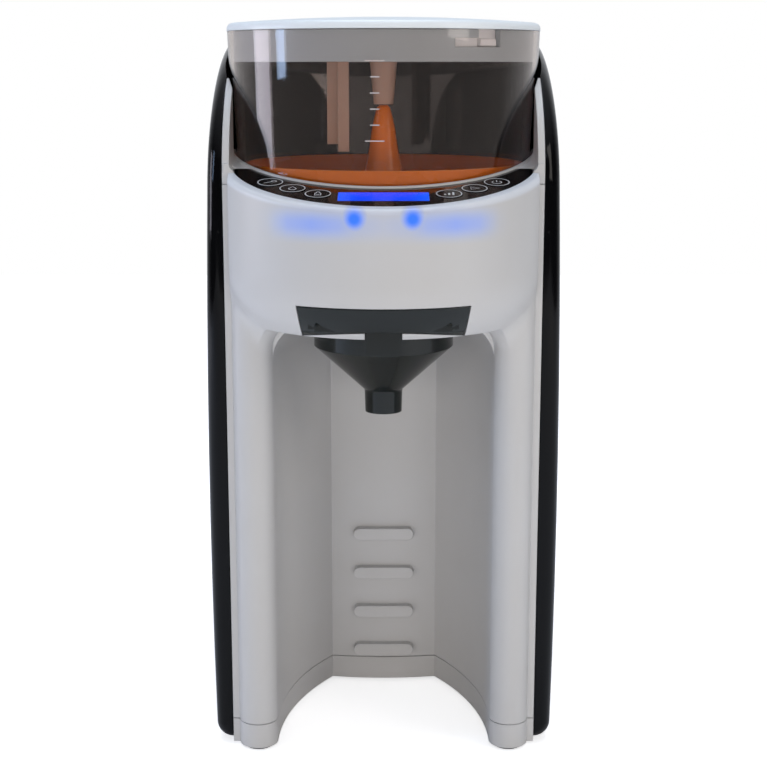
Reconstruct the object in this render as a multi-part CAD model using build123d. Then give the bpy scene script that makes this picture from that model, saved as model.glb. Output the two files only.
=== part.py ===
"""Countertop baby formula maker: powder bowl in front, water tank behind, bottle bay below.

Everything is drawn from the powder bowl's axis (x = 0, y = 0) with the front at -Y.
save() moves each piece so that the origin is the middle of the footprint on the floor.
"""

from build123d import *
from math import cos, pi, radians, sin, sqrt, tan
import os

os.makedirs("parts", exist_ok=True)

# ---------------------------------------------------------------- driving dimensions (mm)
# Overall form. Heights follow each other upwards: bay, works, bowl, lid.
total_height = 349.0
nose_reach = 105.0          # bowl axis to the front of the nose
back_reach = 205.0          # bowl axis to the back of the water tank
foot_height = 1.5
wall = 2.6                  # moulded housing wall
seam = 0.3                  # gap at a seam between two housing mouldings
fit_gap = 0.4               # clearance round pieces that lift or slide out
run_fit = 0.05              # radial clearance of everything that turns on a pin or in a bore
past = 1.0                  # how far a cutting tool runs past the face it opens

# Rounded nose of the front housing, a drum standing behind the front
nose_radius = 76.0
nose_lip_height = 209.7     # underside of the nose, over the bottle bay
nose_curl_radius = 32.0     # how the nose curls under towards the bay
nose_curl_height = 24.3
nose_blend = 12.0           # soft crease between the nose and the two columns
rim_thickness = 2.4         # edge of the nose that frames the control panel

# Works between the nose's underside and the bowl, and the sloping deck over them
works_height = 40.3
deck_rise = 17.2            # bowl's underside to the deck at the front of the nose
deck_slope = 12.0           # degrees, rising to the back
deck_thickness = 5.0
deck_edge_round = 2.4

# Flanks (gloss side panels) and tower
core_half_width = 73.5      # pale mouldings between the two flanks
flank_half_width = 83.4
flank_front = -49.5
flank_back = 112.0
flank_sweep_rise = 7.8      # where the front edge starts to sweep back, over the deck's front
flank_sweep_reach = 112.0
flank_round = 8.0
flank_lean = 4.7            # the flanks lean in by this much at the top
flank_lean_start = 120.0
tower_drop = 8.0            # tower top below the crown of the lid
tower_back_round = 12.0
tower_front = 22.0
horn_back = -18.0           # the pale blades beside the bowl end here
horn_blend = 4.0            # soft corner between the deck and the blades

# Bottle bay
bay_mouth = 51.7            # half width between the columns
bay_back = 29.6             # middle of the back wall
bay_back_half = 27.5
bay_back_bow = 2.4
bay_arch_radius = 18.0
column_x, column_y = 61.0, -48.4
column_radius = 9.3
rib_count, rib_pitch, rib_first = 4, 21.5, 19.2
rib_width, rib_height, rib_reach = 31.6, 6.4, 4.0

# Base tray, its screws and the feet
tray_height = 13.5
tray_floor = 3.0
screw_radius, screw_head_radius, screw_head, screw_length = 1.5, 3.0, 1.8, 22.0
screw_rows = (56.0, 98.0)
screw_post_radius, screw_post_height = 4.0, 34.0
foot_radius = 7.0
side_foot_x, side_foot_y = 62.0, 80.0
rear_foot_x, rear_foot_y = 50.0, 178.0
hose_notch = 9.0            # half width of the passage from the tower to the dock

# Powder bowl and its seat in the deck
bowl_top_radius = 74.6
bowl_low_radius = 72.4
bowl_floor_radius = 72.0
bowl_foot_bevel = 2.0
bowl_taper_rise = 24.0      # the wall starts to flare this far over the bowl's underside
bowl_wall = 2.4
bowl_floor = 3.0
seat_radius = 73.3          # opening in the deck that the bowl drops into
seat_lip_width = 1.3
seat_lip_height = 0.8
seat_wall, seat_floor = 2.5, 3.0
cup_back = -8.0             # where the raised front of the seat ends
pocket_radius = 75.4        # hollow of the tower behind the bowl

# Powder wheel and its drive
wheel_rim_radius, wheel_foot_radius = 67.5, 66.3
wheel_rim_rise = 31.0       # over the bowl's underside
wheel_wall, wheel_floor = 2.0, 3.0
cone_foot_radius, cone_waist_radius, cone_neck_radius = 15.0, 10.4, 6.8
cone_shoulder_radius, cone_tip_radius = 5.4, 3.0
dose_radius, dose_count, dose_hole = 30.0, 6, 8.0
hub_radius = 10.0
hex_across, hex_clearance, hex_rise = 9.0, 0.3, 6.0
gear_module = 1.25
drive_teeth, idler_teeth, pinion_teeth = 24, 22, 12
gear_drop, gear_thickness = 16.0, 8.0
axle_radius, axle_drop = 3.0, 4.0
backlash = 0.34
plate_thickness = 3.0       # gearbox plate
plate_half_width, plate_front = 22.0, -16.0
motor_shaft, motor_radius, motor_height = 1.5, 12.0, 42.0

# Collar, lid and posts
lid_height, lid_gap = 6.5, 0.2
collar_depth, collar_wall, collar_gap = 14.0, 2.8, 0.65
slot_drop, slot_height = 7.5, 3.9         # bayonet slot's floor below the bowl's rim
slot_leg, slot_turn = 10.4, 9.7           # degrees of the upright leg and of the turn
slot_start = 35.4                         # degrees from the front to the upright leg
lug_count, lug_reach, lug_play = 3, 2.2, 1.4
lid_skirt_radius, lid_skirt_wall, lid_skirt_depth = 68.5, 2.4, 13.0
lid_edge, lid_crown = 2.6, 3.0
seal_depth, seal_drop, seal_height = 1.2, 12.0, 2.2
post_length = 34.1                        # lid's underside to the end of the centre post
post_top_radius, post_low_radius, post_taper = 6.7, 4.7, 12.5
scraper_x, scraper_width, scraper_gap = -21.9, 10.6, 5.0
scraper_step = 3.4
post_wall = 2.2

# Control panel
panel_outer = 71.0          # fascia's outer arc, on the nose axis
panel_thickness = 1.6
panel_tip = -43.0
panel_gap = 0.1
panel_tip_round = 2.5
key_radius, key_gap, key_proud, key_round, key_travel = 6.0, 0.2, 0.3, 0.25, 0.5
key_stem_radius = 2.5
key_places = {
    "key_settings": (-50.4, -65.2), "key_water": (-40.0, -74.5), "key_bottle": (-28.5, -82.5),
    "key_volume": (28.5, -82.5), "key_start": (40.0, -74.5), "key_power": (50.4, -65.2),
}
display_width, display_depth, display_y = 39.4, 12.6, -85.9
board_thickness, board_drop, board_outer = 1.6, 9.4, 68.0
board_post_radius = 3.0
board_posts = [(-57.3, -57.0), (57.3, -57.0), (0.0, -92.0)]
switch_height, switch_play = 1.75, 0.05
glow_low, glow_height, glow_depth = 13.2, 4.0, 3.0   # light guide under the deck's front edge

# Funnel, its sliding cover and the outlet above it
funnel_y = -30.0
ceiling_thickness, ceiling_hole = 3.3, 17.0
funnel_ring_radius, funnel_ring_height, funnel_drop = 33.2, 12.0, 1.2
funnel_cone_height, spout_radius, spout_length = 21.7, 9.1, 11.0
funnel_wall = 1.8
band_height, band_top_half, band_low_half, band_arch = 15.0, 38.1, 35.9, 3.4
neck_half, neck_gap = 7.8, 0.4
runner_x, runner_width, runner_height, runner_lift = 30.0, 6.0, 7.0, 1.0
runner_front, runner_back, rail_front = -91.5, -2.0, -79.0
tie_thickness = 3.0
chute_radius, chute_low_radius, chute_wall = 10.0, 8.5, 1.6
chute_flange, chute_flange_width = 2.5, 5.0
nozzle_x, nozzle_y, nozzle_radius, nozzle_bore = 10.0, -39.8, 2.4, 1.2

# Water tank, dock and valve
tank_half_width, tank_corner, tank_wall = 77.0, 33.0, 2.4
tank_front = 114.0
tank_drop = 19.0            # tank's rim below the tower's top
tank_inset = 0.5
dock_top, dock_tray_depth, dock_wall, dock_inset = 30.0, 5.9, 3.0, 1.2
dock_lip = 1.8
valve_y, valve_radius, valve_bore = 150.0, 12.0, 5.0
socket_low = 15.0
socket_radius = 8.0
pin_plate, pin_radius = 1.5, 1.4
plunger_radius, plunger_height = 2.0, 7.0
valve_open = 2.5            # the pin holds the plunger this far off its seat
seat_rise = 5.5
tank_lid_thickness, tank_lid_gap = 3.0, 0.2
hinge_radius, hinge_pin_radius = 4.0, 1.5
hinge_y, ear_x, ear_width = 194.0, 34.0, 6.0
gland_x, gland_z, gland_radius, gland_bore = -36.0, 13.0, 6.5, 3.6
gland_length = 12.0

# Water path and electrics inside
hose_radius, hose_bore, spigot_radius, spigot_length = 3.2, 2.0, 1.95, 8.0
feed_height = 8.0           # feed hose runs this high under the dock
heater_x, heater_y, heater_radius, heater_low, heater_length = -34.0, 72.0, 22.0, 120.0, 80.0
pump_x, pump_y, pump_radius, pump_low, pump_length = 34.0, 74.0, 14.0, 12.0, 54.0
pump_head, pump_head_half = 18.0, 16.0
main_board_gap = 4.0
board_x, board_z, board_w, board_h = -8.0, 60.0, 84.0, 92.0

# ---------------------------------------------------------------- derived places
far = 4 * total_height      # longer than anything, for cutting tools
footprint_middle = (back_reach - nose_reach) / 2
nose_y = nose_radius - nose_reach
curl_top = nose_lip_height + nose_curl_height
ceiling_top = nose_lip_height + ceiling_thickness
bowl_floor_height = nose_lip_height + works_height
deck_front_height = bowl_floor_height + deck_rise
flank_sweep_start = deck_front_height + flank_sweep_rise
slope = radians(deck_slope)
deck = Plane(origin=(0, -nose_reach, deck_front_height), x_dir=(1, 0, 0),
             z_dir=(0, -sin(slope), cos(slope)))
lid_low = total_height - lid_height
bowl_rim_height = lid_low - lid_gap
tower_height = total_height - tower_drop
tank_rim = tower_height - tank_drop
lean_rise = tower_height - flank_lean_start
flank_curve = (lean_rise ** 2 + flank_lean ** 2) / (2 * flank_lean)
seat_low = bowl_floor_height - seat_floor
cup_radius = seat_radius + seat_wall
bowl_flare_start = bowl_floor_height + bowl_taper_rise
wheel_low = bowl_floor_height + bowl_floor + fit_gap
wheel_rim_height = bowl_floor_height + wheel_rim_rise
wheel_cone_top = lid_low - post_length - fit_gap
gear_low = bowl_floor_height - gear_drop
plate_low = gear_low - past - plate_thickness
axle_top = bowl_floor_height - axle_drop
hex_top = bowl_floor_height + hex_rise
idler_y = gear_module * (drive_teeth + idler_teeth) / 2
pinion_y = idler_y + gear_module * (idler_teeth + pinion_teeth) / 2
slot_low = bowl_rim_height - slot_drop
seal_low = lid_low - seal_drop
band_low, band_top = nose_lip_height, nose_lip_height + band_height
runner_low = ceiling_top + runner_lift
funnel_ring_top = nose_lip_height - funnel_drop
funnel_ring_low = funnel_ring_top - funnel_ring_height
funnel_cone_low = funnel_ring_low - funnel_cone_height
spout_low = funnel_cone_low - spout_length
nozzle_top = gear_low
tank_foot = dock_top - dock_tray_depth
seat_height = socket_low + seat_rise
plunger_low = socket_low + pin_plate + seat_rise
lid_plate_top = tank_rim + tank_lid_gap + tank_lid_thickness
hinge_z = lid_plate_top + hinge_radius + seam
heater_top = heater_low + heater_length
pump_top = pump_low + pump_length


# ---------------------------------------------------------------- shared helpers
def save(shape, name):
    """Write one piece with the origin under the middle of the footprint."""
    export_step(Pos(0, -footprint_middle, 0) * shape, f"parts/{name}.step")


def disc(radius, low, high, x=0.0, y=0.0):
    """Upright solid cylinder between two heights."""
    return Pos(x, y, (low + high) / 2) * Cylinder(radius, high - low)


def tube(outer, inner, low, high, x=0.0, y=0.0):
    """Upright hollow cylinder between two heights."""
    ring = Circle(outer) - Circle(inner)
    return extrude(Pos(x, y, low) * ring, high - low)


def block(x0, x1, y0, y1, z0, z1):
    """Box between three pairs of limits."""
    return Pos((x0 + x1) / 2, (y0 + y1) / 2, (z0 + z1) / 2) * Box(x1 - x0, y1 - y0, z1 - z0)


def lying(radius, x, y, z, length):
    """Solid cylinder lying front to back, centred on a point."""
    return Pos(x, y, z) * Rot(90, 0, 0) * Cylinder(radius, length)


def crosswise(radius, x, y, z, length):
    """Solid cylinder lying side to side, centred on a point."""
    return Pos(x, y, z) * Rot(0, 90, 0) * Cylinder(radius, length)


def prism(face, low, high):
    """Plan outline extruded between two heights."""
    return extrude(Pos(0, 0, low) * face, high - low)


def turned(points, x=0.0, y=0.0):
    """Body of revolution about an upright axis from (radius, height) points."""
    profile = make_face(Polyline(*points, close=True))
    return Pos(x, y, 0) * revolve(Plane.XZ * profile, Axis.Z)


def under_deck(drop):
    """Half space below the deck, lowered by a drop along the deck's normal."""
    return deck.location * Pos(0, 0, -drop - far / 2) * Box(far, 2 * far, far)


def on_deck(x, y, lift=0.0):
    """Place on the deck above plan position x, y, raised along the deck's normal."""
    return deck.location * Pos(x, (y + nose_reach) / cos(slope), lift)


def deck_height(y, drop=0.0):
    """Height of the deck at a plan distance, lowered by a drop along the normal."""
    return deck_front_height + (y + nose_reach) * tan(slope) - drop / cos(slope)


def hexagon(across):
    """Hexagon with a size given across its flats."""
    return RegularPolygon(across / 2, 6, major_radius=False)


# ---------------------------------------------------------------- outlines shared by pieces
def bay_outline(grow=0.0):
    """Plan of the bottle bay: flaring sides, bowed back wall, open to the front."""
    start, corner = (bay_mouth, column_y), (bay_back_half, bay_back + bay_back_bow)
    right = TangentArc(start, corner, tangent=(0, 1))
    back = ThreePointArc(corner, (0, bay_back), (-corner[0], corner[1]))
    left = TangentArc((-bay_mouth, column_y), (-corner[0], corner[1]), tangent=(0, 1))
    front = -1.25 * nose_reach
    mouth = Polyline(start, (bay_mouth, front), (-bay_mouth, front), (-bay_mouth, column_y))
    face = make_face([right, back, left, mouth])
    return offset(face, grow, kind=Kind.INTERSECTION) if grow else face


def nose_solid(inset=0.0, floor=nose_lip_height):
    """Drum of the nose, curled under at its foot, up to above the deck."""
    radius, top = nose_radius - inset, deck_height(0)
    inner = nose_radius - nose_curl_radius
    curl = nose_curl_radius - inset
    drop = min(curl_top - floor, curl * 0.98)
    foot = inner + sqrt(curl ** 2 - drop ** 2)
    floor = curl_top - drop
    middle = (inner + curl * cos(drop / curl * 0.5), curl_top - curl * sin(drop / curl * 0.5))
    profile = make_face([
        Polyline((0, floor), (foot, floor)),
        ThreePointArc((foot, floor), middle, (radius, curl_top)),
        Polyline((radius, curl_top), (radius, top), (0, top), (0, floor)),
    ])
    return Pos(0, nose_y, 0) * revolve(Plane.XZ * profile, Axis.Z)


def side_elevation():
    """Side view of flanks and tower: upright front, elliptical sweep up to a flat top."""
    low, r, t = foot_height, flank_round, tower_back_round
    top, back, front = tower_height, flank_back, flank_front
    sweep = (front + flank_sweep_reach, flank_sweep_start)
    return make_face([
        Line((front, low + r), (front, flank_sweep_start)),
        EllipticalCenterArc(sweep, flank_sweep_reach, top - flank_sweep_start, 90, arc_size=90),
        Line((sweep[0], top), (back - t, top)),
        CenterArc((back - t, top - t), t, 0, 90),
        Line((back, top - t), (back, low + r)),
        CenterArc((back - r, low + r), r, 270, 90),
        Line((back - r, low), (front + r, low)),
        CenterArc((front + r, low + r), r, 180, 90),
    ])


def side_slab(x0, x1):
    """Side elevation made solid between two widths."""
    return extrude(Pos(x0, 0, 0) * (Plane.YZ * side_elevation()), x1 - x0)


def tank_outline(inset=0.0):
    """Plan of tank and dock: flat towards the tower, wide rounded corners at the back."""
    half, corner = tank_half_width - inset, tank_corner - inset
    front, back = tank_front + inset, back_reach - inset
    return make_face([
        Polyline((-half, back - corner), (-half, front), (half, front), (half, back - corner)),
        CenterArc((half - corner, back - corner), corner, 0, 90),
        Line((half - corner, back), (corner - half, back)),
        CenterArc((corner - half, back - corner), corner, 90, 90),
    ])


def band_outline(clearance=0.0):
    """Front view of the funnel cover's band: a trapezoid with an arched lower edge."""
    top, low = band_top - clearance, band_low + clearance
    high_half, low_half = band_top_half - clearance, band_low_half - clearance
    return make_face([
        Polyline((-low_half, low), (-high_half, top), (high_half, top), (low_half, low)),
        ThreePointArc((low_half, low), (0, low + band_arch), (-low_half, low)),
    ])


def gear(teeth):
    """Spur gear blank with straight-flanked teeth, first tooth on +X."""
    pitch = gear_module * teeth / 2
    tip, root = pitch + 0.9 * gear_module, pitch - 1.15 * gear_module
    tooth = pi * gear_module / 2 - backlash
    points = []
    for index in range(teeth):
        middle = 2 * pi * index / teeth
        for radius, width in ((root, 1.5), (tip, 0.55)):
            points.append((radius, middle - tooth * width / 2 / radius))
        for radius, width in ((tip, 0.55), (root, 1.5)):
            points.append((radius, middle + tooth * width / 2 / radius))
    corners = [(radius * cos(angle), radius * sin(angle)) for radius, angle in points]
    return prism(make_face(Polyline(*corners, close=True)), gear_low, gear_low + gear_thickness)


# ---------------------------------------------------------------- front housing and base
def front_housing():
    """Nose, two column legs and the bay liner as one moulding, with the shelf ribs."""
    low, behind = tray_height + seam, flank_front + wall
    half = column_x + column_radius
    drum = nose_solid() & under_deck(0)
    drum &= block(-core_half_width, core_half_width, -far, column_y + column_radius - past, 0, far)
    rim = drum.edges().filter_by(lambda edge: edge.geom_type == GeomType.ELLIPSE)
    nose = fillet(rim, deck_edge_round)
    for x in (-column_x, column_x):
        nose += disc(column_radius, low, curl_top + column_radius / 2, x, column_y)
    nose = fillet(column_creases(nose), nose_blend)
    nose &= block(-half, half, -far, behind, 0, far)
    room = nose_solid(wall, ceiling_top) & under_deck(rim_thickness)
    nose -= room & block(wall - half, half - wall, -far, far, 0, far)
    nose -= disc(panel_outer + panel_gap, ceiling_top, far, 0, nose_y) - under_deck(deck_thickness)
    liner = prism(bay_outline(wall), low, ceiling_top)
    liner &= block(-far, far, column_y, bay_back + far, 0, far)
    leg = disc(column_radius, low, ceiling_top, column_x, column_y)
    leg += block(column_x, core_half_width, flank_front, behind, low, ceiling_top)
    leg += block(half - wall, core_half_width, flank_front, behind, low, far) & under_deck(0)
    shell = nose + liner + leg + mirror(leg, Plane.YZ)
    opening = prism(bay_outline(), 0, nose_lip_height)
    sides = [edge for edge in opening.edges().group_by(Axis.Z)[-1]
             if abs(edge.center().X) > bay_back_half and edge.center().Y > -1.2 * nose_reach]
    shell -= fillet(sides, bay_arch_radius)
    for x in (-column_x, column_x):
        shell -= disc(column_radius - wall, 0, ceiling_top - wall, x, column_y)
    shell -= block(-neck_half - neck_gap, neck_half + neck_gap, -far, funnel_y,
                   nose_lip_height - past, ceiling_top + past)
    shell -= disc(ceiling_hole, nose_lip_height - past, ceiling_top + past, 0, funnel_y)
    band = extrude(Plane.XZ * band_outline(), 2 * nose_reach)
    band &= block(-nose_radius, nose_radius, -far, -nose_reach / 2, 0, far)
    shell -= band - nose_solid(wall + seam, 0)
    for index in range(rib_count):
        slot = SlotOverall(rib_width, rib_height)
        rib = extrude(Plane.XZ * slot, rib_reach + wall)
        shell += Pos(0, bay_back + wall, rib_first + index * rib_pitch) * rib
    bezel_room = block(-far, far, flank_front - seam, far, 0, far)
    return shell - (bezel_room - under_deck(deck_thickness + seam))


def column_creases(shape):
    """Edges where the curl of the nose meets the two round columns."""
    creases = []
    for edge in shape.edges():
        middle = edge.center()
        if not nose_lip_height - past < middle.Z < curl_top + past or edge.length < column_radius:
            continue
        spots = [edge.position_at(step / 8) for step in range(9)]
        offs = [sqrt((abs(spot.X) - column_x) ** 2 + (spot.Y - column_y) ** 2) - column_radius
                for spot in spots]
        if max(abs(off) for off in offs) < wall / 50:
            creases.append(edge)
    return creases


def base_tray():
    """Skirt under the housings with its floor, following the bay and both columns."""
    low, top = foot_height, tray_height
    back = flank_back - seam
    plan = prism(Pos(0, (back + flank_front) / 2)
                 * Rectangle(2 * core_half_width, back - flank_front), low, top)
    hollow = block(wall - core_half_width, core_half_width - wall, flank_front + wall,
                   back - wall, low + tray_floor, top + past)
    tray = plan - hollow
    liner = prism(bay_outline(wall), low, top)
    tray += liner & block(-core_half_width, core_half_width, column_y, far, 0, far)
    for side in (-1, 1):
        tray += disc(column_radius, low, top, side * column_x, column_y)
    tray -= prism(bay_outline(), 0, top + past)
    for x, y in screw_places():
        tray -= disc(screw_head_radius + seam, low - past, low + screw_head, x, y)
        tray -= disc(screw_radius + seam, low - past, low + tray_floor + past, x, y)
    return tray - block(-hose_notch, hose_notch, back - wall - past, back + past,
                        low + tray_floor, top + past)


def screw_places():
    """Plan positions of the screws that hold the base tray to the tower."""
    x = core_half_width - wall - screw_head_radius
    return [(side * x, y) for side in (-1, 1) for y in screw_rows]


def base_screws():
    """Four pan head screws as separate solids."""
    low = foot_height
    return [disc(screw_head_radius, low, low + screw_head, x, y)
            + disc(screw_radius, low, low + screw_length, x, y) for x, y in screw_places()]


def rubber_feet():
    """Six round feet under the columns, the tray and the dock."""
    places = [(column_x, column_y), (side_foot_x, side_foot_y), (rear_foot_x, rear_foot_y)]
    return [disc(foot_radius, 0, foot_height, side * x, y) for x, y in places for side in (-1, 1)]


# ---------------------------------------------------------------- deck, flanks and tower
def top_bezel():
    """Panel floor behind the nose's rim, the bowl seat and a thin blade on each side of it."""
    blade_x = column_x + column_radius
    half = blade_x - wall - seam
    front = block(-far, far, -far, flank_front + past, 0, far)
    tongue = disc(nose_radius - wall - seam, 0, far, 0, nose_y) & front
    tongue &= block(-half, half, -far, far, 0, far)
    tongue &= under_deck(rim_thickness + seam) - under_deck(deck_thickness)
    raised = disc(panel_outer, 0, far, 0, nose_y) & front
    body = block(-core_half_width, core_half_width, flank_front, horn_back, 0, far)
    cap = (raised + body) & under_deck(0) - under_deck(deck_thickness)
    blade = block(blade_x, core_half_width, flank_front, horn_back, 0, far)
    blade = (blade & side_slab(blade_x, core_half_width)) - under_deck(deck_thickness)
    corner = Box(horn_blend + wall, far, horn_blend + wall)
    corner = on_deck(blade_x + (wall - horn_blend) / 2, 0, (horn_blend - wall) / 2) * corner
    scoop = Rot(90, 0, 0) * Cylinder(horn_blend, 2 * far)
    corner -= on_deck(blade_x - horn_blend, 0, horn_blend) * scoop
    blade += corner & body - prism(panel_plan(panel_gap), 0, far)
    cap += tongue + blade + mirror(blade, Plane.YZ)
    cap -= disc(pocket_radius - seat_lip_height, 0, far)
    lip = tube(seat_radius + seat_lip_width, seat_radius, bowl_floor_height, total_height)
    lip &= under_deck(-seat_lip_height) & block(-far, far, -far, horn_back, 0, far)
    cup_top = deck_height(-cup_radius, deck_thickness)
    cup = tube(cup_radius, seat_radius, seat_low, cup_top)
    wall_front = tube(cup_radius, seat_radius, cup_top - wall, total_height)
    cup += wall_front & under_deck(fit_gap) & block(-far, far, -far, cup_back, 0, far)
    cup += disc(cup_radius, seat_low, bowl_floor_height)
    bezel = cap + cup + lip
    bezel -= disc(seat_radius, bowl_floor_height, far)
    for x, y in board_posts:
        bezel += on_deck(x, y, -(deck_thickness + board_drop) / 2) * Cylinder(
            board_post_radius, board_drop - deck_thickness)
    bezel -= panel_blank(panel_thickness, panel_gap)
    for x, y in key_places.values():
        bezel -= on_deck(x, y) * Cylinder(key_radius + key_gap, 2 * (panel_thickness + seat_lip_height))
        bezel -= on_deck(x, y) * Cylinder(key_stem_radius + seam, 6 * deck_thickness)
    bezel -= disc(hex_across * 0.9, seat_low - past, bowl_floor_height + past)
    return bezel - disc(chute_radius, seat_low - past, bowl_floor_height + past, 0, funnel_y)


def panel_plan(grow=0.0):
    """Crescent of the control panel between the nose arc and the bowl seat."""
    outer = Pos(0, nose_y) * Circle(panel_outer + grow)
    inner = Circle(seat_radius + seat_lip_width - grow)
    face = outer - inner
    face &= Pos(0, panel_tip + grow - far / 2) * Rectangle(far, far)
    return face


def panel_blank(thickness, grow=0.0):
    """Crescent slab let into the deck."""
    slab = prism(panel_plan(grow), bowl_floor_height, deck_height(0))
    return slab & under_deck(-grow / 10) - under_deck(thickness)


def control_fascia():
    """Gloss crescent with holes for six keys and a window for the display."""
    fascia = panel_blank(panel_thickness)
    corners = [edge for edge in fascia.edges() if edge.center().Y > panel_tip - panel_thickness
               and edge.length < 1.3 * panel_thickness]
    fascia = fillet(corners, panel_tip_round)
    for x, y in key_places.values():
        fascia -= on_deck(x, y) * Cylinder(key_radius + key_gap, 4 * panel_thickness)
    window = Box(display_width + 2 * panel_gap, display_depth + 2 * panel_gap, 4 * panel_thickness)
    return fascia - on_deck(0, display_y) * window


def display():
    """Display window, flush with the fascia."""
    window = on_deck(0, display_y, -panel_thickness / 2)
    return window * Box(display_width, display_depth, panel_thickness)


def key(place):
    """Round key cap with a stem that reaches its switch."""
    x, y = place
    cap_height = key_proud + panel_thickness
    cap = Cylinder(key_radius, cap_height)
    cap = fillet(cap.edges().group_by(Axis.Z)[-1], key_round)
    stem_low = -(board_drop - switch_height - switch_play)
    stem = Cylinder(key_stem_radius, -panel_thickness - stem_low)
    return (on_deck(x, y, key_proud - cap_height / 2) * cap
            + on_deck(x, y, (stem_low - panel_thickness) / 2) * stem)


def control_board():
    """Crescent circuit board on three posts under the deck."""
    plan = Pos(0, nose_y) * Circle(board_outer) - Circle(cup_radius + wall)
    plan &= Pos(0, flank_front - far / 2) * Rectangle(far, far)
    slab = prism(plan, ceiling_top, total_height)
    return slab & under_deck(board_drop) - under_deck(board_drop + board_thickness)


def key_switches():
    """Six small tact switches on the control board."""
    height = switch_height - key_travel - switch_play
    return [on_deck(x, y, height / 2 - board_drop) * Box(key_radius, key_radius, height)
            for x, y in key_places.values()]


def flank():
    """Right side panel: a gloss shell with softened edges, relieved for the bowl."""
    slab = side_slab(core_half_width + seam, flank_half_width + wall)
    curve = Pos(flank_half_width - flank_curve, 0, flank_lean_start) * Rot(90, 0, 0)
    slab &= curve * Cylinder(flank_curve, far)
    outer = slab.faces().sort_by(Axis.X)[-1]
    slab = fillet(outer.edges(), flank_round)
    slab -= disc(pocket_radius, bowl_floor_height, far)
    slab -= disc(cup_radius + seam, seat_low - seam, deck_height(cup_back) + seat_floor)
    hollow = block(core_half_width, flank_half_width - 2 * wall, flank_front + wall,
                   flank_back - wall, foot_height + wall, bowl_floor_height - flank_round)
    return slab - hollow


def rear_housing():
    """Tower and rear tub: hollow front wall round the bowl, closed top and back."""
    low, half = tray_height + seam, core_half_width
    tub_front, shelf = bay_back + 2 * wall + bay_back_bow, seat_low - seam
    cup_top = deck_height(-cup_radius, deck_thickness) + seam
    body = side_slab(-half, half) & block(-half, half, tower_front, far, low, far)
    body -= block(-far, far, 0, tub_front, 0, shelf)
    body -= disc(pocket_radius, cup_top, far)
    body -= disc(cup_radius + seam, shelf - seam, cup_top)
    inside = block(wall - half, half - wall, 0, flank_back - wall, 0, tower_height - wall)
    inside -= disc(pocket_radius + wall, cup_top, far)
    body -= inside & (Pos(0, -wall, -wall) * side_slab(wall - half, half - wall))
    for x, y in screw_places():
        body += disc(screw_post_radius, low, screw_post_height, x, y) - disc(
            screw_radius + run_fit, low, foot_height + screw_length + past, x, y)
    back = flank_back - wall
    for x in (-1, 1):
        for z in (-1, 1):
            body += lying(board_post_radius, board_x + x * (board_w / 2 - 2 * board_post_radius),
                          back - main_board_gap / 2,
                          board_z + board_h / 2 + z * (board_h / 2 - 2 * board_post_radius),
                          main_board_gap)
    return body - block(-hose_notch, hose_notch, back - past, flank_back + past, 0,
                        dock_top - dock_tray_depth)


# ---------------------------------------------------------------- powder bowl, wheel and lid
def bowl_shell():
    """Clear bowl with a tapered wall, a flat floor, hub bearing and powder outlet."""
    low, rim, inner = bowl_floor_height, bowl_rim_height, bowl_wall
    bevel, top = bowl_foot_bevel, bowl_top_radius - lid_gap
    shell = turned([
        (0, low), (bowl_floor_radius - bevel, low), (bowl_floor_radius, low + bevel),
        (bowl_low_radius, bowl_flare_start), (top, rim),
        (top - inner, rim), (bowl_low_radius - inner, bowl_flare_start),
        (bowl_floor_radius - inner, low + bowl_floor), (0, low + bowl_floor),
    ])
    shell -= disc(hub_radius + run_fit, low - past, low + bowl_floor + past)
    return shell - disc(dose_hole + fit_gap, low - past, low + bowl_floor + past, 0, funnel_y)


def sector(outer, inner, start, size, low, high):
    """Part of an upright ring; angles in degrees from the front towards +X."""
    ring = tube(outer, inner, low, high)
    count = max(1, round(size / 30))
    reach = 2 * outer
    angles = [radians(start + size * step / count - 90) for step in range(count + 1)]
    fan = [(0, 0)] + [(reach * cos(angle), reach * sin(angle)) for angle in angles]
    return ring & prism(make_face(Polyline(*fan, close=True)), low - past, high + past)


def lug_angles():
    """Start of the upright leg of each bayonet slot."""
    return [slot_start + index * 360 / lug_count for index in range(lug_count)]


def bowl_collar():
    """Grey locking ring inside the bowl's rim with L-shaped bayonet slots."""
    outer = bowl_top_radius - bowl_wall - collar_gap
    low = bowl_rim_height - collar_depth
    collar = tube(outer, outer - collar_wall, low, bowl_rim_height)
    for start in lug_angles():
        inner = outer - 2 * collar_wall
        collar -= sector(outer + past, inner, start, slot_leg, slot_low, far)
        collar -= sector(outer + past, inner, start - slot_turn, slot_turn + past, slot_low,
                         slot_low + slot_height)
    return collar


def powder_wheel():
    """Orange dosing wheel: rimmed dish with dosing holes, tall cone and hub socket."""
    low, floor = wheel_low, wheel_low + wheel_floor
    tip, rise = wheel_cone_top, wheel_cone_top - floor
    dish = turned([
        (0, low), (wheel_foot_radius, low), (wheel_rim_radius, wheel_rim_height),
        (wheel_rim_radius - wheel_wall, wheel_rim_height), (wheel_foot_radius - wheel_wall, floor),
        (0, floor),
    ])
    cone = make_face([
        Spline((cone_foot_radius, floor), (cone_waist_radius, floor + 0.3 * rise),
               (cone_neck_radius, floor + 0.62 * rise), (cone_shoulder_radius, floor + 0.8 * rise),
               (cone_tip_radius, tip - past)),
        Polyline((cone_tip_radius, tip - past), (cone_tip_radius - past, tip), (0, tip), (0, floor),
                 (cone_foot_radius, floor)),
    ])
    dish += revolve(Plane.XZ * cone, Axis.Z)
    dish += disc(hub_radius, bowl_floor_height + fit_gap, low)
    for index in range(dose_count):
        angle = radians(-90 + index * 360 / dose_count)
        dish -= disc(dose_hole, low - past, floor + past,
                     dose_radius * cos(angle), dose_radius * sin(angle))
    socket = prism(hexagon(hex_across + 2 * hex_clearance), gear_low, hex_top + hex_clearance)
    return dish - socket


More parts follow.
